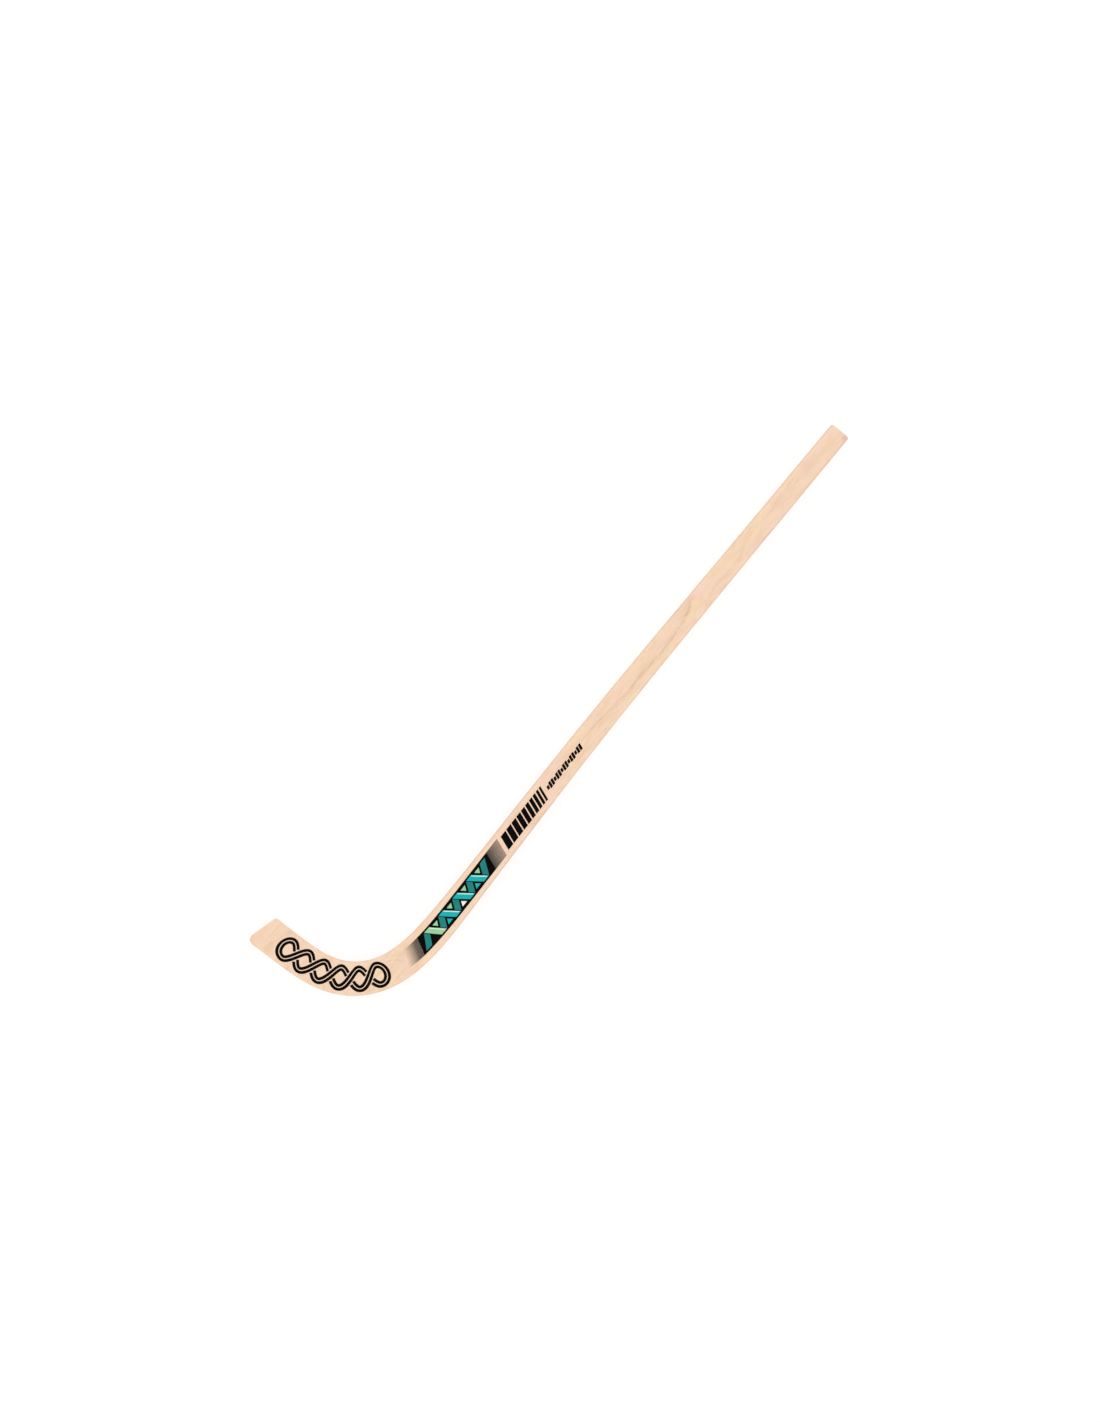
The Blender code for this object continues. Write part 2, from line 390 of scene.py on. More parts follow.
def half_width(places, side):
    """From the middle line to the edge, on the inner side (1) or the outer side (-1)."""
    knots = (0, GRIP_LENGTH, BEND_START, HEEL, LENGTH)
    widths = (BUTT_WIDTH, GRIP_END_WIDTH, NECK_WIDTH, HEEL_WIDTH, BLADE_WIDTH)
    toe_radius = TOE_INNER_RADIUS if side > 0 else TOE_OUTER_RADIUS
    corners = rounding(places, BUTT_CORNER_RADIUS) + rounding(LENGTH - places, toe_radius)
    return eased(knots, widths, places) / 2 - CURVE_ROOM - corners


def half_thickness(places):
    ends = rounding(places, END_EDGE_RADIUS) + rounding(LENGTH - places, END_EDGE_RADIUS)
    return THICKNESS / 2 - ends


def edge_radius(places):
    radii = (SHAFT_EDGE_RADIUS, SHAFT_EDGE_RADIUS, BLADE_EDGE_RADIUS, BLADE_EDGE_RADIUS)
    return np.minimum(eased((0, BEND_START, HEEL, LENGTH), radii, places), half_thickness(places))


def edge_at(places, side, heights):
    """Distance from the middle line to the rounded edge, at these heights."""
    radius = edge_radius(places)
    past = np.clip(np.abs(heights) - (half_thickness(places) - radius), 0, radius)
    return half_width(places, side) - radius + np.sqrt(radius**2 - past**2)


def height_at(places, side, distance):
    """Height at which the rounded edge is this far from the middle line."""
    radius = edge_radius(places)
    past = np.clip(distance - (half_width(places, side) - radius), 0, radius)
    return half_thickness(places) - radius + np.sqrt(radius**2 - past**2)


print(f"{2 * half_width(HEEL, 1) / MM:.1f} mm wide at the heel")

# %% [markdown]
# ## Laid along the line
#
# A maker cuts the strips straight and bends them in a press. The same is done here: each piece is
# drawn as a straight blank, with its length along X, its width along Y and its thickness along
# Z, and a Geometry Nodes tree lays it along the middle line. The tree samples the line at each
# point's distance from the butt and steps aside from it. Near the toe the cuts lean, so that the
# blank ends on the blade's slant. The tree also keeps the straight place of each point, in an
# attribute called blank, because the grain of a bent strip follows the bend.

# %% Helpers for trees of shapes
def open_shape_tree(name, inputs):
    """A tree that takes a shape and gives one back."""
    inputs = {"Geometry": (SHAPE, None), **inputs}
    return open_tree(name, "GeometryNodeTree", inputs, {"Geometry": SHAPE})


def own_places(tree):
    """The place of each point."""
    return tree.nodes.new("GeometryNodeInputPosition").outputs[0]


def moved(tree, shape, **ways):
    """A shape whose points are moved by an Offset or to a Position."""
    return add(tree, "GeometryNodeSetPosition", {"Geometry": shape, **ways}).outputs["Geometry"]


print("shape helpers ready")

# %% The tree that bends a blank
ALWAYS_GIVEN = {"Line": ("NodeSocketObject", None), "Grain Shift": (VECTOR, (0, 0, 0))}
UP = (0, 0, 1)


def bend_group():
    """Lays a straight blank along the line, and keeps each point's straight place."""
    sizes = {
        "Length": (NUMBER, LENGTH),
        "Lean Length": (NUMBER, BLADE_WIDTH),
        "Lean": (NUMBER, math.tan(math.radians(TOE_SLANT))),
    }
    tree, given, result = open_shape_tree("lay_along_the_line", {**ALWAYS_GIVEN, **sizes})
    spot = own_places(tree)
    grain = vectors(tree, "ADD", spot, given["Grain Shift"])
    kept = add(
        tree,
        "GeometryNodeStoreNamedAttribute",
        {"Geometry": given["Geometry"], "Name": "blank", "Value": grain},
        data_type="FLOAT_VECTOR",
    )
    x, y, z = split(tree, spot)
    lean_start = minus(tree, given["Length"], given["Lean Length"])
    share = mapped(tree, x, lean_start, given["Length"], kind="SMOOTHSTEP")
    along = minus(tree, x, times(tree, given["Lean"], share, y))
    curve = add(tree, "GeometryNodeObjectInfo", {"Object": given["Line"]}).outputs["Geometry"]
    sample = {"Curves": curve, "Length": along}
    sampled = add(tree, "GeometryNodeSampleCurve", sample, mode="LENGTH").outputs
    aside = vectors(tree, "CROSS_PRODUCT", sampled["Tangent"], UP)
    beside = vectors(tree, "ADD", sampled["Position"], scaled(tree, aside, y))
    there = vectors(tree, "ADD", beside, vector_of(tree, Z=z))
    fill(tree, result["Geometry"], moved(tree, kept.outputs["Geometry"], Position=there))
    return tree


bend = bend_group()
print(bend.name, "has", len(bend.nodes), "nodes")

# %% The tree of a whole piece, which ends in plain faces and a material
def end_piece(tree, given, result, shape):
    """Lays what a tree made along the line, makes it real and gives it its material."""
    inputs = {"Geometry": shape, "Line": given["Line"], "Grain Shift": given["Grain Shift"]}
    laid = add(tree, "GeometryNodeGroup", inputs, node_tree=bend).outputs[0]
    real = add(tree, "GeometryNodeRealizeInstances", {"Geometry": laid}).outputs[0]
    dressed = {"Geometry": real, "Material": given["Material"]}
    fill(tree, result["Geometry"], add(tree, "GeometryNodeSetMaterial", dressed).outputs[0])


PIECE_INPUTS = {**ALWAYS_GIVEN, "Material": ("NodeSocketMaterial", None)}
bent_piece, given, result = open_shape_tree("bent_piece", PIECE_INPUTS)
end_piece(bent_piece, given, result, given["Geometry"])
print(bent_piece.name, "ready")

# %% What a tree makes, as a plain mesh
SMOOTH_UP_TO = 35.0
DOUBLES = 0.0005 * MM


def grown(name, blank, tree, material, **inputs):
    """The piece that a tree makes of a blank: plain faces that point out, at the origin."""
    piece = bpy.data.objects.new(name, blank)
    scene.collection.objects.link(piece)
    modifier = piece.modifiers.new(tree.name, "NODES")
    modifier.node_group = tree
    values = {"Line": middle_line, "Material": material, **inputs}
    for socket in tree.interface.items_tree:
        if socket.in_out == "INPUT" and socket.name in values:
            modifier[socket.identifier] = values[socket.name]
    graph = bpy.context.evaluated_depsgraph_get()
    mesh = bpy.data.meshes.new_from_object(piece.evaluated_get(graph), depsgraph=graph)
    piece.modifiers.remove(modifier)
    piece.data = mesh
    body = bmesh.new()
    body.from_mesh(mesh)
    bmesh.ops.remove_doubles(body, verts=body.verts, dist=DOUBLES)
    bmesh.ops.recalc_face_normals(body, faces=body.faces)
    body.to_mesh(mesh)
    body.free()
    mesh.shade_smooth()
    mesh.set_sharp_from_angle(angle=math.radians(SMOOTH_UP_TO))
    mesh.name = name
    return piece


print("ready to grow pieces")

# %% [markdown]
# ## Patterns that the finishes share
#
# Wood, ink and resin each get a finish of their own further down, but some patterns come back in
# several of them: the fine fibres and pores of the wood, and the satin lacquer over everything.
# Each is a shader group, built once. A group gives masks and heights only, and the shader that
# uses them stays in the material. All of them measure in metres, so every pattern has its real
# size, and along the grain streaks and pores are tens of times longer than across it.

# %% Helpers for patterns
# The Mix node's sockets for colours, which share their names with those for numbers.
COLOUR_A = 6
COLOUR_B = 7
MIXED_COLOUR = 2


def titled(label):
    """The name of a socket, from the name of an argument."""
    return label.replace("_", " ").title()


def open_pattern(name, outputs, **numbers):
    """A shader group that reads a place and some numbers, and puts out values."""
    inputs = {"Place": (VECTOR, None)}
    inputs.update({titled(label): (NUMBER, value) for label, value in numbers.items()})
    return open_tree(name, "ShaderNodeTree", inputs, dict.fromkeys(outputs, NUMBER))


def noise(tree, place, stretch, detail):
    """Noise from 0 to 1, with this many features a metre along each axis."""
    spread = vectors(tree, "MULTIPLY", place, stretch)
    inputs = {"Vector": spread, "Scale": 1.0, "Detail": detail}
    return add(tree, "ShaderNodeTexNoise", inputs).outputs[0]


def patches(tree, place, stretch, detail, *ranges):
    """Noise of which one range is spread from 0 to 1, or over another range."""
    return mapped(tree, noise(tree, place, stretch, detail), *ranges)


def mixed(tree, share, first, second):
    """One colour over another, by a share from 0 to 1."""
    inputs = {0: share, COLOUR_A: first, COLOUR_B: second}
    return add(tree, "ShaderNodeMix", inputs, data_type="RGBA").outputs[MIXED_COLOUR]


def weighed(tree, *pairs):
    """The sum of values, each times its own weight."""
    total = 0.0
    for value, weight in pairs:
        total = maths(tree, "MULTIPLY_ADD", value, weight, total)
    return total


def hump(tree, distance, width):
    """1 where a distance is zero, and falling off to nothing within a few widths."""
    share = maths(tree, "DIVIDE", distance, width)
    return maths(tree, "EXPONENT", times(tree, maths(tree, "POWER", share, 2), -1))


def humps(tree, distance, *sizes):
    """The sum of humps at one distance, each given by its width and its weight."""
    return weighed(tree, *((hump(tree, distance, width), weight) for width, weight in sizes))


print("pattern helpers ready")

# %% Fibres and pores
COARSE_STREAKS = ((30, 2200, 2200), 3)
FINE_STREAKS = ((160, 9000, 9000), 2)
COARSE_WEIGHT = 0.65
FINE_WEIGHT = 0.35
STREAK_RANGE = (0.36, 0.64)
# Features a metre along each axis, detail, and the range that is spread from 0 to 1.
WOOD_PATCHES = {
    "Pores": ((240, 6500, 6500), 1, 0.62, 0.74),
    "Tint": ((22, 62, 62), 3, 0.34, 0.66),
    "Cloud": ((36, 120, 120), 2, 0.46, 0.74),
    "Blush": ((55, 150, 150), 2, 0.54, 0.72),
}


def fibres_group():
    """Streaks along the grain, pores as short dashes, and patches of another tint or tone."""
    tree, given, result = open_pattern("wood_fibres", ("Streaks", *WOOD_PATCHES))
    place = given["Place"]
    coarse, fine = (noise(tree, place, *streaks) for streaks in (COARSE_STREAKS, FINE_STREAKS))
    streaks = weighed(tree, (coarse, COARSE_WEIGHT), (fine, FINE_WEIGHT))
    fill(tree, result["Streaks"], mapped(tree, streaks, *STREAK_RANGE))
    for name, pattern in WOOD_PATCHES.items():
        fill(tree, result[name], patches(tree, place, *pattern))
    return tree


fibres = fibres_group()
print(fibres.name, "gives Streaks,", ", ".join(WOOD_PATCHES))

# %% Growth rings in a strip
END_GRAIN = 0.03 * MM
USUAL_RING = 2.0 * MM
PITH_WANDER = ((3.1, 0, 0), 2)
PITH_WANDERS_BY = 14 * MM
RING_WOBBLE = ((2, 300, 300), 2)
RING_WOBBLE_SHARE = 0.8
LATE_WOOD = 3
WAVES = ((14, 180, 180), 2)


def rings_group():
    """Rings around a pith that wanders, and a mask for the sawn ends of a strip."""
    tree, given, result = open_pattern("growth_rings", ("Ring", "Waves", "End"), ring_width=USUAL_RING)
    place = given["Place"]
    along = split(tree, place)["X"]
    across = vectors(tree, "MULTIPLY", place, (0, 1, 1))
    away = add(tree, "ShaderNodeVectorMath", {0: across}, operation="LENGTH").outputs["Value"]
    wander = times(tree, noise(tree, place, *PITH_WANDER), PITH_WANDERS_BY)
    rings = maths(tree, "DIVIDE", maths(tree, "ADD", away, wander), given["Ring Width"])
    wobble = times(tree, noise(tree, place, *RING_WOBBLE), RING_WOBBLE_SHARE)
    within = maths(tree, "FRACT", maths(tree, "ADD", rings, wobble))
    fill(tree, result["Ring"], maths(tree, "POWER", within, LATE_WOOD))
    fill(tree, result["Waves"], noise(tree, place, *WAVES))
    at_butt = maths(tree, "LESS_THAN", along, END_GRAIN)
    at_toe = maths(tree, "GREATER_THAN", along, LENGTH - END_GRAIN)
    fill(tree, result["End"], maths(tree, "MAXIMUM", at_butt, at_toe))
    return tree


growth_rings = rings_group()
print(growth_rings.name, "ready")

# %% Satin lacquer
WIPED = ((26, 70, 70), 3)
DUST = ((1500, 1500, 1500), 1)
RIPPLE = ((420, 420, 420), 2)
WIPED_WEIGHT = 0.8
DUST_WEIGHT = 0.2
GLOSS_RANGE = (0.35, 0.65)


def lacquer_group():
    """The uneven gloss and the faint ripple of a sprayed coat that has been handled."""
    tree, given, result = open_pattern("satin_lacquer", ("Roughness", "Ripple"), low=0.3, high=0.45)
    place = given["Place"]
    wiped, dust, ripple = (noise(tree, place, *pattern) for pattern in (WIPED, DUST, RIPPLE))
    gloss = weighed(tree, (wiped, WIPED_WEIGHT), (dust, DUST_WEIGHT))
    roughness = mapped(tree, gloss, *GLOSS_RANGE, given["Low"], given["High"])
    fill(tree, result["Roughness"], roughness)
    fill(tree, result["Ripple"], ripple)
    return tree


lacquer = lacquer_group()
print(lacquer.name, "ready")

# %% A material around the Principled shader
def open_finish(name, **numbers):
    """A new material, its tree and its shader's inputs, with plain numbers set on the shader."""
    material = bpy.data.materials.new(name)
    material.use_nodes = True
    inputs = material.node_tree.nodes["Principled BSDF"].inputs
    for label, value in numbers.items():
        inputs[titled(label).replace("Ior", "IOR")].default_value = value
    return material, material.node_tree, inputs


def used(tree, group, **values):
    """A group placed in a material, with its own values."""
    named = {titled(label): value for label, value in values.items()}
    return add(tree, "ShaderNodeGroup", named, node_tree=group).outputs


def straight_place(tree):
    """Where a point was before the blank was bent."""
    return add(tree, "ShaderNodeAttribute", attribute_name="blank").outputs["Vector"]


def set_surface(tree, shader, colour, roughness, height, depth):
    """The colour, the roughness, and the relief of a height of 1 that is this deep in metres."""
    bump = add(tree, "ShaderNodeBump", {"Height": height, "Distance": depth})
    fill(tree, shader["Base Color"], colour)
    fill(tree, shader["Roughness"], roughness)
    fill(tree, shader["Normal"], bump.outputs["Normal"])


print("material helpers ready")

# %% [markdown]
# ## The pale face
#
# Each broad side is one sheet of sliced ash, and its grain runs straight along X from the grip to
# the blade, whatever the stick's edge does, because the sheet is glued on after the bend and cut
# to shape. It is so evenly pale that one growth line is all that shows in the shaft, where the
# slice just touched the next ring. Two faint arches near the heel and a band across the toe are
# the rest. The material therefore measures across the sheet. A float curve says how the line
# wanders, and neighbours follow it faintly.

# %% Where the growth line runs, from the butt
# Places from the butt in metres, with offsets across the sheet in millimetres.
GROWTH_LINE = (
    (0.284, 16.0), (0.290, 8.5), (0.296, 4.6), (0.306, 2.2), (0.320, -1.4), (0.340, -3.1),
    (0.360, -3.9), (0.380, -4.1), (0.400, -3.5), (0.420, -3.5), (0.440, -2.9), (0.460, -1.5),
    (0.480, 0.6), (0.500, 1.1), (0.530, 1.5),
)
# Places from the butt in metres, with the strength of the line there.
GROWTH_STRENGTH = (
    (0.284, 0.35), (0.292, 0.7), (0.300, 1.0), (0.330, 0.95), (0.350, 0.6), (0.375, 0.65),
    (0.400, 0.95), (0.430, 0.6), (0.455, 0.5), (0.480, 0.6), (0.500, 0.45), (0.530, 0.0),
)
GROWTH_LOW = -20.0
GROWTH_HIGH = 20.0


def along_curve(tree, value, points, low, high):
    """A value looked up on a smooth curve through points, whose results span low to high."""
    first, last = points[0][0], points[-1][0]
    made = add(tree, "ShaderNodeFloatCurve", {"Value": mapped(tree, value, first, last)})
    curve = made.mapping.curves[0]
    for i, (at, result) in enumerate(points):
        spot = ((at - first) / (last - first), (result - low) / (high - low))
        if 0 < i < len(points) - 1:
            curve.points.new(*spot)
        else:
            curve.points[0 if i == 0 else -1].location = spot
    made.mapping.update()
    return mapped(tree, made.outputs[0], 0, 1, low, high)


print(f"the growth line crosses the shaft over {(GROWTH_LINE[-1][0] - GROWTH_LINE[0][0]):.3f} m")

# %% What makes the growth lines uneven
NOISE_MIDDLE = 0.5
WAVY = ((34, 160, 0), 3)
WAVY_BY = 6.0 * MM
RAGGED = ((160, 900, 0), 2)
RAGGED_BY = 3.4 * MM
BROKEN = ((75, 300, 0), 2, 0.38, 0.60, 0.22, 1)


def stray_from(tree, place):
    """How far the lines of the sheet stray from a smooth course."""
    wavy, ragged = (minus(tree, noise(tree, place, *way), NOISE_MIDDLE) for way in (WAVY, RAGGED))
    return weighed(tree, (wavy, WAVY_BY), (ragged, RAGGED_BY))


print("lines stray by up to", (WAVY_BY + RAGGED_BY) / 2 / MM, "mm")

# %% The line in the shaft, the arches by the heel and the band at the toe
# Each hump is a width and a weight.
SHAFT_HUMPS = ((1.1 * MM, 0.52), (3.6 * MM, 0.32))
ARCH_TIP = 0.8771
ARCH_RADIUS = 13.2 * MM
ARCH_HUMPS = ((0.9 * MM, 0.62), (1.6 * MM, 0.22))
ARCHES_APART = 9 * MM
ARCH_OPENS = (-6 * MM, 9 * MM)
ARCH_CLOSES = (25 * MM, 18 * MM)
TOE_HUMPS = ((1.1 * MM, 0.24), (4 * MM, 0.10))
TOE_BAND_SLOPE = 0.35
TOE_BAND_FROM = (0.925, 0.945)


def shaft_line(tree, x, apart):
    """The growth line of the shaft, from the distance to it."""
    strength = along_curve(tree, x, GROWTH_STRENGTH, 0, 1)
    return times(tree, humps(tree, apart, *SHAFT_HUMPS), strength)


def arches(tree, x, lean, stray):
    """Two arches, one behind the other. The lean is the height over their tips."""
    bow = maths(tree, "DIVIDE", maths(tree, "POWER", lean, 2), 2 * ARCH_RADIUS)
    apart = maths(tree, "ADD", minus(tree, maths(tree, "ADD", bow, ARCH_TIP), x), stray)
    distances = (apart, minus(tree, apart, ARCHES_APART))
    lines = [(hump(tree, far, width), weight) for far, (width, weight) in zip(distances, ARCH_HUMPS)]
    opens, closes = (mapped(tree, lean, *way, kind="SMOOTHSTEP") for way in (ARCH_OPENS, ARCH_CLOSES))
    return times(tree, weighed(tree, *lines), opens, closes)


def toe_band(tree, x, y, height, stray):
    """A slanted band on the toe. Its height is where it would cross the butt."""
    slanted = maths(tree, "MULTIPLY_ADD", x, TOE_BAND_SLOPE, height)
    shown = mapped(tree, x, *TOE_BAND_FROM, kind="SMOOTHSTEP")
    return times(tree, humps(tree, minus(tree, y, slanted, stray), *TOE_HUMPS), shown)


print(len(ARCH_HUMPS), "arches, the first with its tip at", ARCH_TIP)

# %% The figure of the sliced sheet
FAINT_WARP = ((1.6, 25, 0), 1)
FAINT_WARPED_BY = 30 * MM
FAINT_SPACING = 5.5 * MM
FAINT_POWER = 4


def figure_group():
    """Growth lines of the sheet, from a place that is measured from the butt along X."""
    tree, given, result = open_pattern("sliced_figure", ("Line", "Faint"), arch_height=0.0, toe_height=1.0)
    place = given["Place"]
    x, y = split(tree, place)[:2]
    stray = stray_from(tree, place)
    level = times(tree, along_curve(tree, x, GROWTH_LINE, GROWTH_LOW, GROWTH_HIGH), MM)
    apart = minus(tree, y, level, stray)
    arch = arches(tree, x, minus(tree, y, given["Arch Height"]), stray)
    toe = toe_band(tree, x, y, given["Toe Height"], stray)
    lines = maths(tree, "MAXIMUM", maths(tree, "MAXIMUM", shaft_line(tree, x, apart), arch), toe)
    fill(tree, result["Line"], times(tree, lines, patches(tree, place, *BROKEN)))
    warped = maths(tree, "MULTIPLY_ADD", noise(tree, place, *FAINT_WARP), FAINT_WARPED_BY, apart)
    rings = maths(tree, "FRACT", maths(tree, "DIVIDE", warped, FAINT_SPACING))
    fill(tree, result["Faint"], maths(tree, "POWER", rings, FAINT_POWER))
    return tree


figure = figure_group()
print(figure.name, "has", len(figure.nodes), "nodes")

# %% [markdown]
# The print on the face fades out at both ends of its black panel. That tint is a screen of lines
# too fine to cut one by one, so it belongs to the face's own finish. The mask follows the bend,
# because it reads the straight place of each point. Its slanted lines widen as the tint darkens.

# %% The tint at both ends of the printed panel
PRINT_LEAN = -21.0
PANEL_START = 0.706
PANEL_END = 0.847
PANEL_HALF = 11.5 * MM
# Each fade's start and end along the stick, and the share of ink at both.
FADES = (
    (PANEL_START - 22.5 * MM, PANEL_START, 0.60, 0.98),
    (PANEL_END, PANEL_END + 7.0 * MM, 0.91, 0.87),
    (PANEL_END + 7.0 * MM, PANEL_END + 24.5 * MM, 0.86, 0.0),
)
FADE_PITCH = 1.6 * MM
HALF_A_LINE = 0.5
FADE_SHARPNESS = 0.10
FADE_LINES = 0.34


def fade(tree, along, start, end, first, last):
    """A share of ink that goes from the first to the last value, and is zero outside."""
    ramp = mapped(tree, along, start, end, first, last)
    started = maths(tree, "GREATER_THAN", along, start)
    return times(tree, ramp, times(tree, started, maths(tree, "LESS_THAN", along, end)))


def fade_group():
    """How much ink lies on a point of the face, from its straight place."""
    tree, given, result = open_pattern("fading_print", ("Ink",))
    x, y = split(tree, given["Place"])[:2]
    along = maths(tree, "MULTIPLY_ADD", y, -math.tan(math.radians(PRINT_LEAN)), x)
    amount = weighed(tree, *((fade(tree, along, *sizes), 1) for sizes in FADES))
    phase = maths(tree, "PINGPONG", maths(tree, "DIVIDE", along, FADE_PITCH), HALF_A_LINE)
    edge = minus(tree, times(tree, amount, HALF_A_LINE), phase)
    lines = mapped(tree, edge, -FADE_SHARPNESS / 2, FADE_SHARPNESS / 2)
    ink = weighed(tree, (amount, 1 - FADE_LINES), (lines, FADE_LINES))
    wide = maths(tree, "LESS_THAN", maths(tree, "ABSOLUTE", y), PANEL_HALF)
    printed = times(tree, wide, maths(tree, "GREATER_THAN", amount, 0))
    fill(tree, result["Ink"], times(tree, ink, printed))
    return tree


fading_print = fade_group()
print(fading_print.name, "fades in", len(FADES), "stretches")

# %% A stain at the butt, and painted shade along the rim
SMUDGE_ALONG = (-12 * MM, -4 * MM)
SMUDGE_ACROSS = (-3 * MM, -10 * MM)
RIM_HEIGHTS = (9.75 * MM, 8.6 * MM)
RIM_SHADE_PATCHES = ((17, 40, 0), 3, 0.54, 0.66, 0.05, 0.6)
STAIN_AND_SHADE_SHARE = 0.5


def butt_stain_and_rim_shade(tree, from_butt, place):
    """Darkens the face: a real stain on one corner of the butt, and painted shade in patches along the
    rounded rim.
    """
    x, y, z = split(tree, from_butt)
    at_butt = mapped(tree, x, *SMUDGE_ALONG, kind="SMOOTHSTEP")
    smudge = times(tree, at_butt, mapped(tree, y, *SMUDGE_ACROSS, kind="SMOOTHSTEP"))
    up = maths(tree, "ABSOLUTE", minus(tree, z, butt.z))
    rim = mapped(tree, up, *RIM_HEIGHTS, kind="SMOOTHSTEP")
    # Painted shade: the rounded rim is darkened in patches, in the same colour as the butt stain.
    marks = times(tree, rim, patches(tree, place, *RIM_SHADE_PATCHES))
    return times(tree, maths(tree, "MAXIMUM", smudge, marks), STAIN_AND_SHADE_SHARE)


print("marks of handling ready")

# %% The face's finish
FACE_PINK = (0.950, 0.670, 0.526, 1)
FACE_YELLOW = (0.932, 0.709, 0.465, 1)
FACE_RING = (0.590, 0.370, 0.235, 1)
FACE_PORE = (0.520, 0.335, 0.215, 1)
# The colour of the stain at the butt, which is also painted as shade along the rim.
STAIN_AND_SHADE_TONE = (0.620, 0.390, 0.255, 1)
FADE_INK = (0.016, 0.013, 0.011, 1)
# The share of each mask, and its colour.
FACE_LAYERS = {
    "Cloud": (0.68, (0.800, 0.560, 0.375, 1)),
    "Blush": (0.78, (0.900, 0.570, 0.350, 1)),
    "Streaks": (0.46, (0.820, 0.580, 0.420, 1)),
    "Faint": (0.09, FACE_RING),
    "Line": (0.74, FACE_RING),
    "Flecks": (0.55, (0.500, 0.310, 0.200, 1)),
}
FLECKS = ((115, 860, 860), 1, 0.725, 0.76)
FLECK_TURN = 14.0
PORES_ANYWHERE = 0.14
PORES_ON_THE_LINE = 0.5
ARCH_HEIGHT = -0.073
TOE_BAND_HEIGHT = 0.0705
TOE_BAND_PLACE = 0.960
FACE_RELIEF = 0.03 * MM


def face_wood(name, turn, shift):
    """Pale sliced ash. The turn and shift lay the sheet's figure over this side of the stick."""
    material, tree, shader = open_finish(name, coat_weight=0.30, coat_roughness=0.22)
    there = add(tree, "ShaderNodeTexCoord").outputs["Object"]
    from_butt = vectors(tree, "SUBTRACT", there, (butt.x, butt.y, 0))
    place = vectors(tree, "ADD", vectors(tree, "MULTIPLY", from_butt, turn), shift)
    grain = used(tree, fibres, place=place)
    toe_height = TOE_BAND_HEIGHT - butt.y - TOE_BAND_SLOPE * TOE_BAND_PLACE
    rings = used(tree, figure, place=place, arch_height=ARCH_HEIGHT - butt.y, toe_height=toe_height)
    gloss = used(tree, lacquer, place=place, low=0.34, high=0.46)
    turned = {"Vector": place, "Angle": math.radians(FLECK_TURN)}
    skewed = add(tree, "ShaderNodeVectorRotate", turned, rotation_type="Z_AXIS").outputs[0]
    masks = {**dict(grain.items()), **dict(rings.items()), "Flecks": patches(tree, skewed, *FLECKS)}
    wood = mixed(tree, grain["Tint"], FACE_PINK, FACE_YELLOW)
    for layer, (share, colour) in FACE_LAYERS.items():
        wood = mixed(tree, times(tree, masks[layer], share), wood, colour)
    pore_share = maths(tree, "MULTIPLY_ADD", rings["Line"], PORES_ON_THE_LINE, PORES_ANYWHERE)
    wood = mixed(tree, times(tree, grain["Pores"], pore_share), wood, FACE_PORE)
    # The stain at the butt, and painted shade along the rim.
    wood = mixed(tree, butt_stain_and_rim_shade(tree, from_butt, place), wood, STAIN_AND_SHADE_TONE)
    tint = used(tree, fading_print, place=straight_place(tree))
    wood = mixed(tree, tint["Ink"], wood, FADE_INK)
    height = weighed(
        tree, (grain["Pores"], -0.45), (grain["Streaks"], -0.15), (gloss["Ripple"], 0.30)
    )
    set_surface(tree, shader, wood, gloss["Roughness"], height, FACE_RELIEF)
    return material


front_face = face_wood("front_face_ash", (-1, 1, 1), (0, 0, 0))
back_face = face_wood("back_face_ash", (-1, -1, 1), (-0.215, 0.004, 0.3))
print(front_face.name, "and", back_face.name)

# %% [markdown]
# ## Bent strips, cloth and resin
#
# The narrow edges show the outermost strips, and both ends show the whole stack. A strip was bent
# after it was sawn, so its grain follows the bend. Its finish therefore reads the straight place
# that the tree kept. Each strip also has its own shift, because no two come from one board. Ash
# has wide rings with open pores, and beech is pinker, with fine dark flecks.

# %% Strip finishes
TIMBERS = {
    "ash": {
        "pale": (0.900, 0.640, 0.455, 1),
        "dark": (0.700, 0.470, 0.310, 1),
        "pore": (0.440, 0.275, 0.170, 1),
        "pores": (260, 5200, 5200),
        "pore_share": 0.55,
        "ring_width": 2.4 * MM,
    },
    "beech": {
        "pale": (0.790, 0.520, 0.365, 1),
        "dark": (0.640, 0.395, 0.262, 1),
        "pore": (0.360, 0.200, 0.125, 1),
        "pores": (620, 4200, 4200),
        "pore_share": 0.50,
        "ring_width": 1.7 * MM,
    },
}
PORE_DETAIL = (1, 0.60, 0.70)
PORES_CUT_ACROSS = ((0, 5200, 5200), 1, 0.58, 0.68)
END_SHADE = 0.55
STRIP_RELIEF = 0.04 * MM


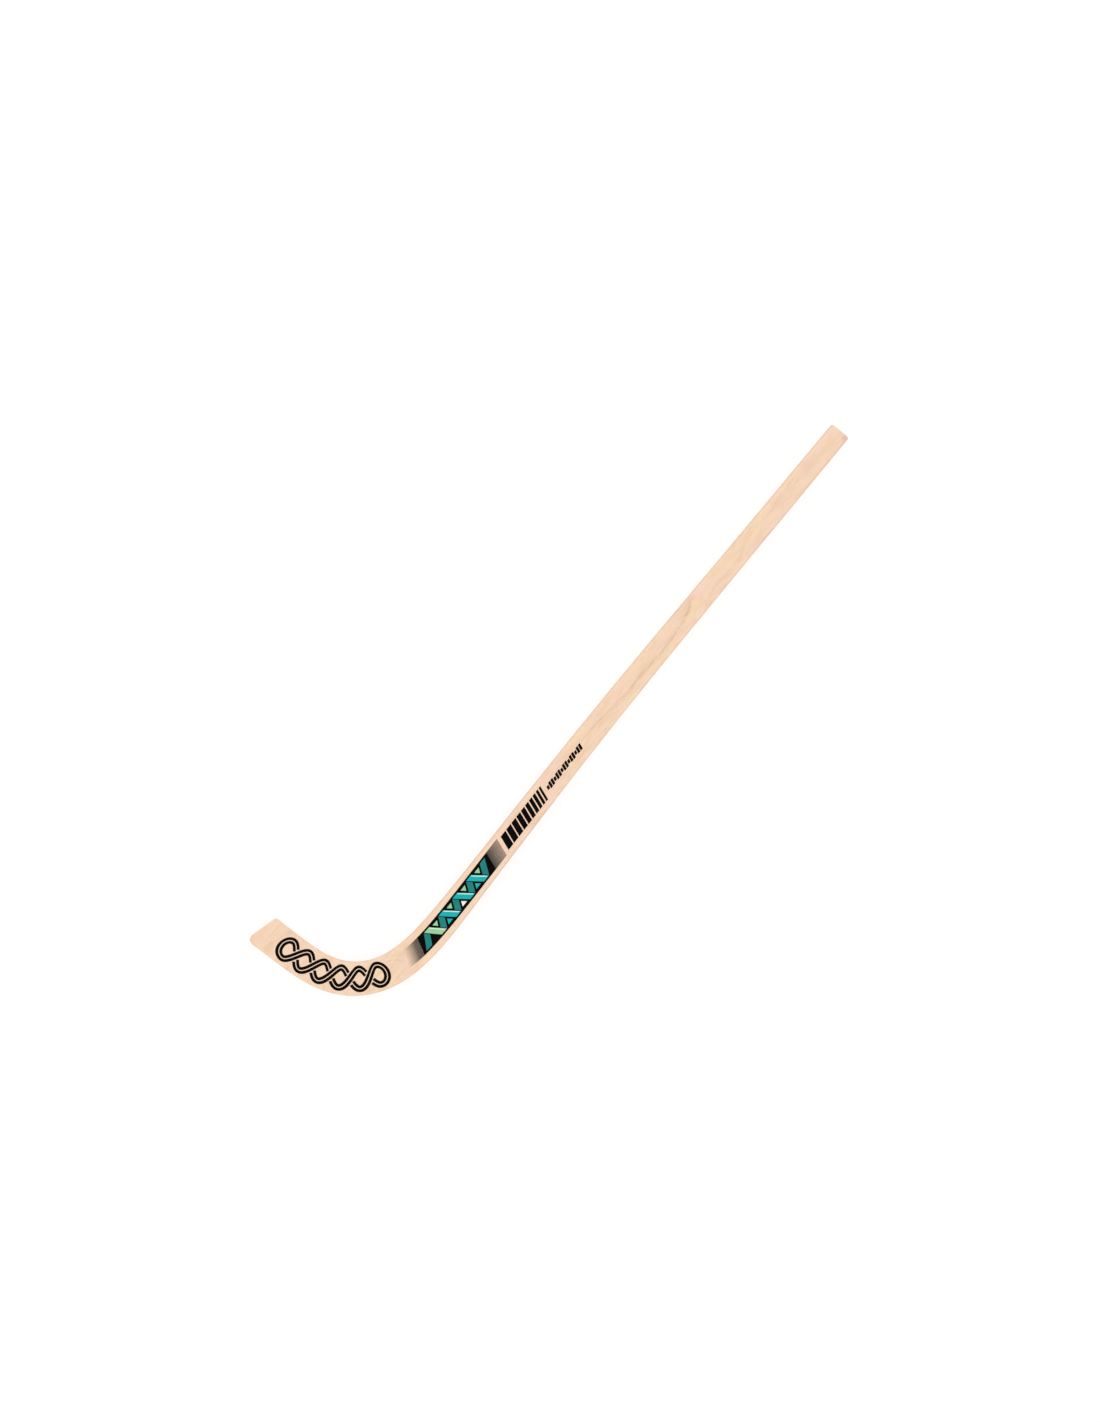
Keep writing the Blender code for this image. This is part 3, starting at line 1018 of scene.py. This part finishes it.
def strip_wood(name, pale, dark, pore, pores, pore_share, ring_width):
    """A timber with rings and open pores, which are dots on its sawn ends."""
    material, tree, shader = open_finish(name, coat_weight=0.22, coat_roughness=0.25)
    place = straight_place(tree)
    grain = used(tree, fibres, place=place)
    rings = used(tree, growth_rings, place=place, ring_width=ring_width)
    gloss = used(tree, lacquer, place=place, low=0.36, high=0.50)
    shade = weighed(tree, (rings["Ring"], 0.45), (grain["Streaks"], 0.25), (rings["Waves"], 0.20))
    wood = mixed(tree, shade, pale, dark)
    dashes = times(tree, patches(tree, place, pores, *PORE_DETAIL), minus(tree, 1, rings["End"]))
    dots = times(tree, patches(tree, place, *PORES_CUT_ACROSS), rings["End"])
    open_pores = maths(tree, "MAXIMUM", dashes, dots)
    wood = mixed(tree, times(tree, open_pores, pore_share), wood, pore)
    wood = mixed(tree, times(tree, rings["End"], END_SHADE), wood, dark)
    height = weighed(tree, (open_pores, -0.5), (grain["Streaks"], -0.2), (gloss["Ripple"], 0.3))
    set_surface(tree, shader, wood, gloss["Roughness"], height, STRIP_RELIEF)
    return material


timbers = [(name, strip_wood(f"strip_{name}", **looks)) for name, looks in TIMBERS.items()]
print(" and ".join(finish.name for name, finish in timbers))

# %% The cloth's finish
THREAD = 0.75 * MM
FRAY = ((900, 900, 4000), 2)
FRAYED_BY = 1.2
THREADS_UP_TO = 1.1
CLOTH_PALE = (0.800, 0.640, 0.490, 1)
CLOTH_GAP = (0.690, 0.520, 0.375, 1)
CLOTH_RELIEF = 0.015 * MM


def woven_glass():
    """Two ways of thread in a clear resin: on a cut edge they show as a row of milky dots."""
    material, tree, shader = open_finish("glass_cloth", coat_weight=0.2)
    place = straight_place(tree)
    x, y = split(tree, scaled(tree, place, 2 * math.pi / THREAD))[:2]
    weave = times(tree, maths(tree, "SINE", x), maths(tree, "SINE", y))
    frayed = maths(tree, "MULTIPLY_ADD", noise(tree, place, *FRAY), FRAYED_BY, weave)
    threads = mapped(tree, frayed, 0, THREADS_UP_TO)
    colour = mixed(tree, threads, CLOTH_GAP, CLOTH_PALE)
    gloss = used(tree, lacquer, place=place, low=0.28, high=0.42)
    set_surface(tree, shader, colour, gloss["Roughness"], threads, CLOTH_RELIEF)
    return material


glass = woven_glass()
print(glass.name, "ready")

# %% The resin's finish
THICK_RESIN = ((120, 900, 900), 2, 0.35, 0.65)
RESIN_CLEAR = (0.790, 0.560, 0.375, 1)
RESIN_DARK = (0.620, 0.410, 0.255, 1)
SEEN_THROUGH = ((0.825, 0.570, 0.405, 1), (0.740, 0.490, 0.335, 1))
RESIN_RELIEF = 0.02 * MM


def set_resin():
    """Hard amber glue. Where it runs out on a narrow edge it is so thin that the wood shows."""
    material, tree, shader = open_finish("set_resin", coat_weight=0.3)
    place = straight_place(tree)
    amber = mixed(tree, patches(tree, place, *THICK_RESIN), RESIN_CLEAR, RESIN_DARK)
    wood = mixed(tree, used(tree, fibres, place=place)["Streaks"], *SEEN_THROUGH)
    beside = TIMBERS["ash"]
    pores = patches(tree, place, beside["pores"], *PORE_DETAIL)
    wood = mixed(tree, times(tree, pores, beside["pore_share"]), wood, beside["pore"])
    colour = mixed(tree, used(tree, growth_rings, place=place)["End"], wood, amber)
    gloss = used(tree, lacquer, place=place, low=0.22, high=0.36)
    set_surface(tree, shader, colour, gloss["Roughness"], gloss["Ripple"], RESIN_RELIEF)
    return material


resin = set_resin()
print(resin.name, "ready")

# %% [markdown]
# ## Straight blanks
#
# A blank is a row of cuts, each a ring of points around the piece, joined up into a closed body.
# The cuts are close together where the stick bends, and closest at both ends, where the corners
# and the edges are rounded. The rings themselves take their points from the cross section, so
# neighbouring pieces meet flush at the surface, as they do on a sanded stick.

# %% Where the blanks are cut across
SHAFT_STEP = 8 * MM
BEND_STEP = 2.5 * MM
CLOSEST_CUTS = 0.02 * MM
CORNER_CUTS = 22


def corner_cuts(radius):
    """Distances from an end that go round a corner of this radius in even turns."""
    return radius * (1 - np.cos(np.linspace(0, math.pi / 2, CORNER_CUTS)))


def cut_places():
    butt_end = np.concatenate([corner_cuts(END_EDGE_RADIUS), corner_cuts(BUTT_CORNER_RADIUS)])
    toe_end = np.concatenate([corner_cuts(END_EDGE_RADIUS), corner_cuts(TOE_OUTER_RADIUS)])
    shaft = np.arange(BUTT_CORNER_RADIUS, BEND_START, SHAFT_STEP)
    blade = np.arange(BEND_START, LENGTH - TOE_OUTER_RADIUS, BEND_STEP)
    every = np.concatenate([butt_end, shaft, blade, LENGTH - toe_end])
    return np.minimum(np.unique(np.round(every / CLOSEST_CUTS)) * CLOSEST_CUTS, LENGTH)


CUTS = cut_places()
print(len(CUTS), "cuts across the stick")

# %% From rings to a closed blank
def ringed(cuts, offsets, heights):
    """Rings of points at cuts (n, 1), with offsets and heights (n, points around)."""
    return np.stack(np.broadcast_arrays(cuts, offsets, heights), axis=-1)


def lofted(name, rings):
    """A closed body through rings that have equal numbers of points."""
    count, around = rings.shape[:2]
    numbers = np.arange(count * around).reshape(count, around)
    after = np.roll(numbers, -1, axis=1)
    sides = np.stack([numbers[:-1], after[:-1], after[1:], numbers[1:]], axis=-1).reshape(-1, 4)
    mesh = bpy.data.meshes.new(name)
    faces = sides.tolist() + [numbers[0].tolist(), numbers[-1].tolist()]
    mesh.from_pydata(rings.reshape(-1, 3).tolist(), [], faces)
    return mesh


print("loft ready")

# %% Rings of a sheet and of a core piece
FEATHER = 0.05 * MM
FINE_PLACES = 20001
STRIP_LEVELS = 17
VENEER_LEVELS = 11
SUPPORT = 0.5 * MM


def sheet_rings(levels, face, inset=0.0, support=None):
    """Rings of a sheet from edge to edge, with its levels (1 or n, levels) upwards from the glue."""
    cuts = np.unique(np.clip(CUTS, inset, LENGTH - inset))[:, None]
    levels = levels + np.zeros_like(cuts)
    inner, outer = (edge_at(cuts, side, levels) - inset for side in (1, -1))
    offsets = [inner, -outer[:, ::-1]]
    heights = [levels, levels[:, ::-1]]
    if support:
        flats = [half_width(cuts, side) - edge_radius(cuts) - support for side in (1, -1)]
        offsets = [inner, flats[0], -flats[1], -outer[:, ::-1]]
        heights = [levels, levels[:, -1:], levels[:, -1:], levels[:, ::-1]]
    return ringed(cuts, np.concatenate(offsets, axis=1), face * np.concatenate(heights, axis=1))


def veneer_levels(inside):
    """Heights around the rounded edge, in even turns from the glued side to the broad face."""
    cuts = CUTS[:, None]
    radius = edge_radius(cuts)
    middle = half_thickness(cuts) - radius
    first = np.arcsin(np.clip((inside - middle) / radius, 0, 1))
    turns = first + (math.pi / 2 - first) * np.linspace(0, 1, VENEER_LEVELS)
    return np.maximum(inside, middle + radius * np.sin(turns))


def core_rings(near, far, side, top, inset=0.0):
    """Rings of a strip, or of the glue beside it, which the rounded edge trims where they meet."""
    fine = np.linspace(0, LENGTH, FINE_PLACES)
    width = half_width(fine, side) - inset
    held = np.clip(fine[width >= near + FEATHER], inset, LENGTH - inset)
    full = np.clip(fine[width >= min(far, width.max())], inset, LENGTH - inset)
    kept = np.unique(np.concatenate([held[[0, -1]], full[[0, -1]]]))
    apart = np.abs(CUTS[:, None] - kept).min(axis=1)
    between = CUTS[(CUTS > held[0]) & (CUTS < held[-1]) & (apart > CLOSEST_CUTS)]
    cuts = np.unique(np.concatenate([kept, between]))[:, None]
    tops = np.minimum(top, height_at(cuts, side, near + FEATHER + inset))
    heights = tops * np.sin(np.linspace(-math.pi / 2, math.pi / 2, STRIP_LEVELS))
    outer = np.minimum(far, edge_at(cuts, side, heights) - inset)
    offsets = np.concatenate([outer, np.full((len(cuts), 2), near)], axis=1)
    return ringed(cuts, side * offsets, np.concatenate([heights, tops, -tops], axis=1))


print("rings ready")

# %% [markdown]
# ## The pieces of wood
#
# Fifteen strips stand side by side, from the inside of the hook to the outside, ash and beech in
# turn. Those near the edges are planed away towards the grip, because the shaft narrows there.
# Each strip is lofted straight, bent by the tree, and takes the place of its own solid. The
# solids keep 0.3 mm between them, but a press squeezes the glue to less than half of that, so the
# wood is drawn a little fuller than its solids.

# %% The core
STRIP_COUNT = 15
GLUE_LINE = 0.3 * MM
SQUEEZED_GLUE = 0.12 * MM
SQUEEZED_BY = GLUE_LINE - SQUEEZED_GLUE
FULLER = SQUEEZED_BY / 2
STRIP_THICKNESS = (BLADE_WIDTH - (STRIP_COUNT - 1) * GLUE_LINE) / STRIP_COUNT
PITCH = STRIP_THICKNESS + GLUE_LINE
CORE_OUTSIDE = 6.9 * MM
CORE_TOP = CORE_OUTSIDE + SQUEEZED_BY
BOARD_SHIFT = 37 * MM
BOARD_LEVELS = 4

strips = []
for i in range(STRIP_COUNT):
    middle = ((STRIP_COUNT - 1) / 2 - i) * PITCH
    near = abs(middle) - STRIP_THICKNESS / 2
    timber, finish = timbers[i % len(timbers)]
    span = (near - FULLER, near + STRIP_THICKNESS + FULLER)
    rings = core_rings(*span, 1 if middle >= 0 else -1, CORE_TOP)
    name = f"{timber}_strip_{i + 1:02d}"
    board = (0, (i + 1) * BOARD_SHIFT, (i % BOARD_LEVELS - (BOARD_LEVELS - 1) / 2) * BOARD_SHIFT)
    strip = grown(name, lofted(name, rings), bent_piece, finish, **{"Grain Shift": board})
    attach(strip, "root")
    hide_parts(f"core_strip_{i + 1:02d}")
    strips.append(strip)
print(len(strips), "strips,", sum(len(strip.data.polygons) for strip in strips), "faces")

# %% Cloths and face sheets
CLOTH_THICKNESS = 0.5 * MM
CLOTH_INSIDE = CORE_OUTSIDE + GLUE_LINE
CLOTH_OUTSIDE = CLOTH_INSIDE + CLOTH_THICKNESS
CLOTH_ROWS = 3
CLOTH_LEVELS = np.linspace(CLOTH_INSIDE, CLOTH_OUTSIDE, CLOTH_ROWS)
VENEER_INSIDE = CLOTH_OUTSIDE + SQUEEZED_GLUE

for side, face, finish in (("front", 1, front_face), ("back", -1, back_face)):
    blank = lofted(f"{side}_cloth", sheet_rings(CLOTH_LEVELS, face))
    cloth = grown(f"{side}_cloth", blank, bent_piece, glass)
    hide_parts(f"{side}_glass_cloth")
    rings = sheet_rings(veneer_levels(VENEER_INSIDE), face, support=SUPPORT)
    sheet = grown(f"{side}_face", lofted(f"{side}_face", rings), bent_piece, finish)
    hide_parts(f"{side}_face_veneer")
    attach(cloth, "root")
    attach(sheet, "root")
    print(side, len(cloth.data.polygons) + len(sheet.data.polygons), "faces")

# %% [markdown]
# ## Glue
#
# What room is left between the pieces is filled with resin. There is one thin sheet between each
# two strips, and a level one on either side of each cloth. They reach a hair into their
# neighbours and stay a hair below the surface, each kind at its own depth, so that no two faces
# ever lie in the same plane.

# %% Resin between the strips, and above and below the cloths
OVERLAP = 0.03 * MM
LINE_SUNK = 0.02 * MM
SHEET_SUNK = 0.03 * MM

glue_rings = {}
reach = SQUEEZED_GLUE / 2 + OVERLAP
for i in range(STRIP_COUNT - 1):
    middle = ((STRIP_COUNT - 2) / 2 - i) * PITCH
    near = abs(middle) - reach
    side = 1 if middle >= 0 else -1
    glue_rings[f"glue_line_{i + 1:02d}"] = core_rings(near, near + 2 * reach, side, CORE_TOP, LINE_SUNK)
for side, face in (("front", 1), ("back", -1)):
    for touching, height in (("core", CLOTH_INSIDE - SQUEEZED_GLUE), ("face", CLOTH_OUTSIDE)):
        levels = np.array([height - OVERLAP, height + SQUEEZED_GLUE + OVERLAP])
        glue_rings[f"{side}_{touching}_glue"] = sheet_rings(levels, face, SHEET_SUNK)

for name, rings in glue_rings.items():
    glue = grown(name, lofted(name, rings), bent_piece, resin)
    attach(glue, "root")
print(len(glue_rings), "sheets of resin")

# %% [markdown]
# ## Ink on the faces
#
# The print is screen ink, laid on both broad faces under the lacquer's last coat. Every mark is a
# thin closed slab that rises a few hundredths of a millimetre over the wood and starts just
# below it. A flat mark is drawn in places and offsets, as the blanks are. A second tree joins its
# faces where they meet, thickens it, turns it over for the back, and lays it along the middle
# line with the tree from before. Faces joined first leave no walls inside the slab.

# %% The tree of a flat mark
INK_SUNK = 0.02 * MM
BLACK_INK = 0.025 * MM
COLOUR_INK = 0.045 * MM
WHITE_INK = 0.065 * MM
SAME_SPOT = 0.001 * MM


def thickened(tree, given, flat):
    """A closed slab over a flat mark, from just below the wood's face to the ink's height."""
    flat = moved(tree, flat, Offset=vector_of(tree, Z=given["Low"]))
    rise = vector_of(tree, Z=minus(tree, given["High"], given["Low"]))
    up = {"Mesh": flat, "Offset": rise, "Individual": False}
    raised = add(tree, "GeometryNodeExtrudeMesh", up, mode="FACES").outputs["Mesh"]
    below = add(tree, "GeometryNodeFlipFaces", {"Mesh": flat}).outputs["Mesh"]
    both = add(tree, "GeometryNodeJoinGeometry")
    tree.links.new(raised, both.inputs[0])
    tree.links.new(below, both.inputs[0])
    turned = vector_of(tree, X=1, Y=1, Z=given["Face"])
    return moved(tree, both.outputs[0], Position=vectors(tree, "MULTIPLY", own_places(tree), turned))


MARK_INPUTS = {
    **PIECE_INPUTS,
    "Low": (NUMBER, THICKNESS / 2 - INK_SUNK),
    "High": (NUMBER, THICKNESS / 2 + BLACK_INK),
    "Face": (NUMBER, 1.0),
}
flat_mark, given, result = open_shape_tree("flat_mark", MARK_INPUTS)
faces = {"Geometry": given["Geometry"], "Distance": SAME_SPOT}
joined = add(flat_mark, "GeometryNodeMergeByDistance", faces).outputs["Geometry"]
end_piece(flat_mark, given, result, thickened(flat_mark, given, joined))
print(flat_mark.name, "ready")

# %% The tree of a row of bars
BAR_POINTS = 9
SHORT_EVERY = 3
ALMOST = 0.1
BAR_SIZES = {
    "Start": 0.0,
    "Step": 5.0 * MM,
    "Step Growth": 0.0,
    "Width": 2.0 * MM,
    "Width Growth": 0.0,
    "Height": 10.0 * MM,
    "Short Height": 1.0,
    "Lean": 0.0,
}


def bar_row_tree():
    """A row of slanted bars whose spacing and width may grow, with every third one shortened."""
    sizes = {name: (NUMBER, value) for name, value in BAR_SIZES.items()}
    tree, given, result = open_shape_tree("bar_row", {**MARK_INPUTS, "Count": (WHOLE, 1), **sizes})
    number = tree.nodes.new("GeometryNodeInputIndex").outputs[0]
    points = add(tree, "GeometryNodeMeshLine", {"Count": given["Count"], "Offset": (0, 0, 0)})
    steps = maths(tree, "MULTIPLY_ADD", number, given["Step"], given["Start"])
    growth = times(tree, given["Step Growth"], maths(tree, "POWER", number, 2))
    at = vector_of(tree, X=maths(tree, "MULTIPLY_ADD", growth, 0.5, steps))
    row = moved(tree, points.outputs[0], Position=at)
    width = maths(tree, "MULTIPLY_ADD", number, given["Width Growth"], given["Width"])
    in_turn = maths(tree, "MODULO", number, SHORT_EVERY)
    short = maths(tree, "COMPARE", in_turn, SHORT_EVERY - 1, ALMOST)
    cut = times(tree, short, minus(tree, 1, given["Short Height"]))
    size = vector_of(tree, X=width, Y=times(tree, given["Height"], minus(tree, 1, cut)), Z=1)
    grid = {"Size X": 1, "Size Y": 1, "Vertices X": 2, "Vertices Y": BAR_POINTS}
    bar = add(tree, "GeometryNodeMeshGrid", grid).outputs["Mesh"]
    placed = {"Points": row, "Instance": bar, "Scale": size}
    bars = add(tree, "GeometryNodeInstanceOnPoints", placed).outputs["Instances"]
    real = add(tree, "GeometryNodeRealizeInstances", {"Geometry": bars}).outputs[0]
    slope = maths(tree, "TANGENT", given["Lean"])
    shear = times(tree, slope, split(tree, own_places(tree))["Y"])
    flat = moved(tree, real, Offset=vector_of(tree, X=shear))
    end_piece(tree, given, result, thickened(tree, given, flat))
    return tree


bar_row = bar_row_tree()
print(bar_row.name, "has", len(bar_row.nodes), "nodes")

# %% Ink finishes
CLOUDY = ((40, 120, 120), 3, 0.3, 0.7)
CLOUDY_SHARE = 0.5
SPECK_SHARE = 0.35
INK_RELIEF = 0.03 * MM


def ink(name, colour, worn):
    """Screen ink: an even colour with fine specks where the wood's pores show through."""
    material, tree, shader = open_finish(name, specular_ior_level=0.03, coat_weight=0.015)
    there = add(tree, "ShaderNodeTexCoord").outputs["Object"]
    grain = used(tree, fibres, place=there)
    gloss = used(tree, lacquer, place=there, low=0.30, high=0.42)
    cloudy = times(tree, patches(tree, there, *CLOUDY), CLOUDY_SHARE)
    tone = mixed(tree, cloudy, (*colour, 1), (*worn, 1))
    tone = mixed(tree, times(tree, grain["Pores"], SPECK_SHARE), tone, (*worn, 1))
    height = weighed(tree, (grain["Streaks"], -0.25), (gloss["Ripple"], 0.35))
    set_surface(tree, shader, tone, gloss["Roughness"], height, INK_RELIEF)
    return material


INKS = {
    "black": ink("black_ink", (0.0020, 0.0014, 0.0016), (0.0070, 0.0055, 0.0050)),
    "teal": ink("teal_ink", (0.006, 0.420, 0.425), (0.030, 0.460, 0.440)),
    "deep_teal": ink("deep_teal_ink", (0.014, 0.205, 0.190), (0.040, 0.250, 0.215)),
    "green": ink("pale_green_ink", (0.290, 0.610, 0.300), (0.360, 0.640, 0.360)),
    "white": ink("white_ink", (0.830, 0.900, 0.880), (0.880, 0.820, 0.740)),
}
INK_HEIGHTS = {"black": BLACK_INK, "white": WHITE_INK}
print("inks:", ", ".join(INKS))

# %% [markdown]
# ## Drawing the print
#
# The decoration is a plain one of its own: a row of small dashes, bars that grow towards a black
# panel, a folded ribbon in teal and green on it, and a braid of double lines on the blade. Rows
# of bars come from the tree. The ribbon's facets and the braid's lines are drawn here as flat
# faces, with enough points to follow the bend. The same print is on both faces.

# %% Flat faces
EDGE_POINTS = 1.5 * MM


def outline(corners):
    """The corners of a face, with more points along its edges."""
    points = []
    for start, end in zip(corners, corners[1:] + corners[:1]):
        start, end = np.array(start), np.array(end)
        count = max(1, math.ceil(np.linalg.norm(end - start) / EDGE_POINTS))
        points += [tuple(start + (end - start) * i / count) for i in range(count)]
    return points


def drawn(name, faces):
    """Flat faces, each given by its points as (place, offset)."""
    mesh = bpy.data.meshes.new(name)
    points = [(*point, 0) for face in faces for point in face]
    ends = np.cumsum([len(face) for face in faces])
    mesh.from_pydata(points, [], [list(range(end - len(face), end)) for face, end in zip(faces, ends)])
    return mesh


def shrunk(corners, border):
    """A convex face drawn in by the same border on all sides."""
    middle = np.mean(corners, axis=0)
    lines = []
    for start, end in zip(corners, corners[1:] + corners[:1]):
        way = np.subtract(end, start) / np.linalg.norm(np.subtract(end, start))
        normal = np.array((-way[1], way[0]))
        normal *= np.sign(np.dot(middle - start, normal))
        lines.append((normal, np.dot(normal, start) + border))
    pairs = zip(lines[-1:] + lines[:-1], lines)
    return [tuple(np.linalg.solve([a[0], b[0]], [a[1], b[1]])) for a, b in pairs]


def leaning(start, end, half_height):
    """A long face whose two ends lean as the print does."""
    shift = math.tan(math.radians(PRINT_LEAN)) * half_height
    low, high = -half_height, half_height
    return [(start - shift, low), (end - shift, low), (end + shift, high), (start + shift, high)]


print("drawing helpers ready")

# %% The black panel and its folded ribbon
RIBBON_HALF = 9.6 * MM
RIBBON_FOLDS = 9
RIBBON_STEP = 14.3 * MM
RIBBON_WIDTH = 11.0 * MM
RIBBON_BORDER = 0.5 * MM
RIBBON_START = PANEL_START + 0.9 * MM
LAST_TEAL_FOLD = 5


def facet(number):
    """The part that shows of one fold of the ribbon. The odd folds lie on top of the even ones."""
    start = RIBBON_START + number * RIBBON_STEP
    low, high = (RIBBON_HALF, -RIBBON_HALF) if number % 2 == 0 else (-RIBBON_HALF, RIBBON_HALF)
    share = RIBBON_WIDTH / (2 * RIBBON_STEP)
    first, last = low + (high - low) * share, high + (low - high) * share
    after = start + RIBBON_STEP
    if number % 2:
        return [(start, low), (start + RIBBON_WIDTH, low), (after + RIBBON_WIDTH, high), (after, high)]
    foot = [(start + RIBBON_WIDTH, low)]
    head = [(after + RIBBON_WIDTH / 2, last), (after, high), (start + RIBBON_WIDTH / 2, first)]
    if number == 0:
        return [(start, low), *foot, *head[:2]]
    if number == RIBBON_FOLDS - 1:
        return foot + [(after + RIBBON_WIDTH, high), *head[1:]]
    return foot + head


def gap(number):
    """The small black triangle between two folds, beside the ribbon's turn."""
    start = RIBBON_START + number * RIBBON_STEP
    side = RIBBON_HALF if number % 2 else -RIBBON_HALF
    tip = side * (RIBBON_WIDTH / RIBBON_STEP - 1)
    left = start - RIBBON_STEP + RIBBON_WIDTH
    return [(left, side), (start + RIBBON_STEP, side), (start + RIBBON_WIDTH / 2, tip)]


ribbon = {"teal": [], "deep_teal": [], "green": [], "white": []}
for number in range(RIBBON_FOLDS):
    upper = "teal" if number <= LAST_TEAL_FOLD else "green"
    colour = upper if number % 2 else "deep_teal"
    ribbon[colour].append(outline(shrunk(facet(number), RIBBON_BORDER)))
print({colour: len(faces) for colour, faces in ribbon.items()})

# %% Glints on the ribbon and small triangles beside it
GLINT_WIDTH = 1.2 * MM
GLINT_INSET = 1.6 * MM
GLINT_SHARE = 0.84
TRIANGLE_BORDER = 2.2 * MM

for number in range(1, RIBBON_FOLDS, 2):
    corners = np.array(facet(number))
    left = corners[[0, 3]] + (GLINT_INSET, 0)
    middle = left.mean(axis=0)
    left = middle + (left - middle) * GLINT_SHARE
    right = left + (GLINT_WIDTH, 0)
    ribbon["white"].append(outline([tuple(point) for point in (left[0], right[0], right[1], left[1])]))
for number in range(1, RIBBON_FOLDS - 1):
    colour = "white" if number == RIBBON_FOLDS // 2 else "green" if number % 2 else "teal"
    ribbon[colour].append(outline(shrunk(gap(number), TRIANGLE_BORDER)))
print({colour: len(faces) for colour, faces in ribbon.items()})

# %% The braid's path on the blade
BRAID_START = 0.9120
BRAID_LENGTH = 0.126
BRAID_HALF_TURNS = 5
BRAID_HALF = 12.8 * MM
BRAID_NOSE = 10.5 * MM
WAVE_POINTS = 281
NOSE_POINTS = 29


def strand_path(side):
    """One strand as it waves along the blade, with a quarter turn to the middle at both ends."""
    share = np.linspace(0, 1, WAVE_POINTS)[1:-1]
    turn = np.linspace(0, math.pi / 2, NOSE_POINTS)
    wave = np.cos(share * BRAID_HALF_TURNS * math.pi)
    last = math.cos(BRAID_HALF_TURNS * math.pi)
    along = [-BRAID_NOSE * np.cos(turn), BRAID_LENGTH * share, BRAID_LENGTH + BRAID_NOSE * np.sin(turn)]
    across = [np.sin(turn), wave, last * np.cos(turn)]
    points = np.stack([np.concatenate(along), BRAID_HALF * np.concatenate(across)], axis=1)
    return points * (1, side) + (BRAID_START, 0)


print("a path of", len(strand_path(1)), "points")

# %% Two strands that pass over and under each other
LINE_APART = 2.45 * MM
LINE_WIDTH = 3.85 * MM
CLEAR_OF_THE_OTHER = 5.3 * MM
FIRST_CROSSING = 0.5


def sideways(path):
    """Unit steps to the left of a path, whose two ends run square to the middle line."""
    way = np.gradient(path, axis=0)
    way[[0, -1], 0] = 0
    way /= np.linalg.norm(way, axis=1, keepdims=True)
    return np.stack([-way[:, 1], way[:, 0]], axis=1)


def braid_faces():
    """Each strand is a pair of lines, broken where it dips under the other one."""
    faces = []
    for side in (1, -1):
        path, other = strand_path(side), strand_path(-side)
        phase = (path[:, 0] - BRAID_START) / BRAID_LENGTH * BRAID_HALF_TURNS
        crossing = np.clip(np.round(phase - FIRST_CROSSING), 0, BRAID_HALF_TURNS - 1)
        under = (crossing % 2 == (side > 0)) & (phase > 0) & (phase < BRAID_HALF_TURNS)
        aside = sideways(path)
        for shift in (-LINE_APART, LINE_APART):
            centre = path + aside * shift
            gaps = np.linalg.norm(centre[:, None] - other[None], axis=2).min(axis=1)
            hidden = under & (gaps < CLEAR_OF_THE_OTHER)
            left, right = (centre + aside * half for half in (LINE_WIDTH / 2, -LINE_WIDTH / 2))
            for i in np.flatnonzero(~(hidden[:-1] | hidden[1:])):
                faces.append([tuple(spot) for spot in (left[i], right[i], right[i + 1], left[i + 1])])
    return faces


braid = braid_faces()
print(len(braid), "faces in the braid")

# %% Print both faces
BARS = {
    "dash_row": dict(Count=15, Start=0.5215, Step=4.7 * MM, Width=3.9 * MM, Height=7.6 * MM),
    "bar_row": dict(Count=10, Start=0.5975, Step=5.3 * MM, Width=3.4 * MM, Height=18.4 * MM),
}
BARS["dash_row"]["Short Height"] = 0.6
BARS["bar_row"].update({"Step Growth": 0.68 * MM, "Width Growth": 0.72 * MM})


def printed(name, blank, tree, colour, face, **sizes):
    """Prints one mark on one face of the stick."""
    top = THICKNESS / 2 + INK_HEIGHTS.get(colour, COLOUR_INK)
    piece = grown(name, blank, tree, INKS[colour], High=top, Face=float(face), **sizes)
    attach(piece, "root")
    return piece


marks = []
for side, face in (("front", 1), ("back", -1)):
    for name, sizes in BARS.items():
        sizes = {"Lean": math.radians(PRINT_LEAN), **sizes}
        blank = bpy.data.meshes.new(name)
        marks.append(printed(f"{side}_{name}", blank, bar_row, "black", face, **sizes))
    panel = drawn("panel", [outline(leaning(PANEL_START, PANEL_END, PANEL_HALF))])
    marks.append(printed(f"{side}_panel", panel, flat_mark, "black", face))
    marks.append(printed(f"{side}_braid", drawn("braid", braid), flat_mark, "black", face))
    for colour, faces in ribbon.items():
        blank = drawn(f"ribbon_{colour}", faces)
        marks.append(printed(f"{side}_ribbon_{colour}", blank, flat_mark, colour, face))
print(len(marks), "marks,", sum(len(mark.data.polygons) for mark in marks), "faces")

# %% [markdown]
# ## Finish
#
# The line has done its work and goes.

# %% The end
bpy.data.objects.remove(middle_line)
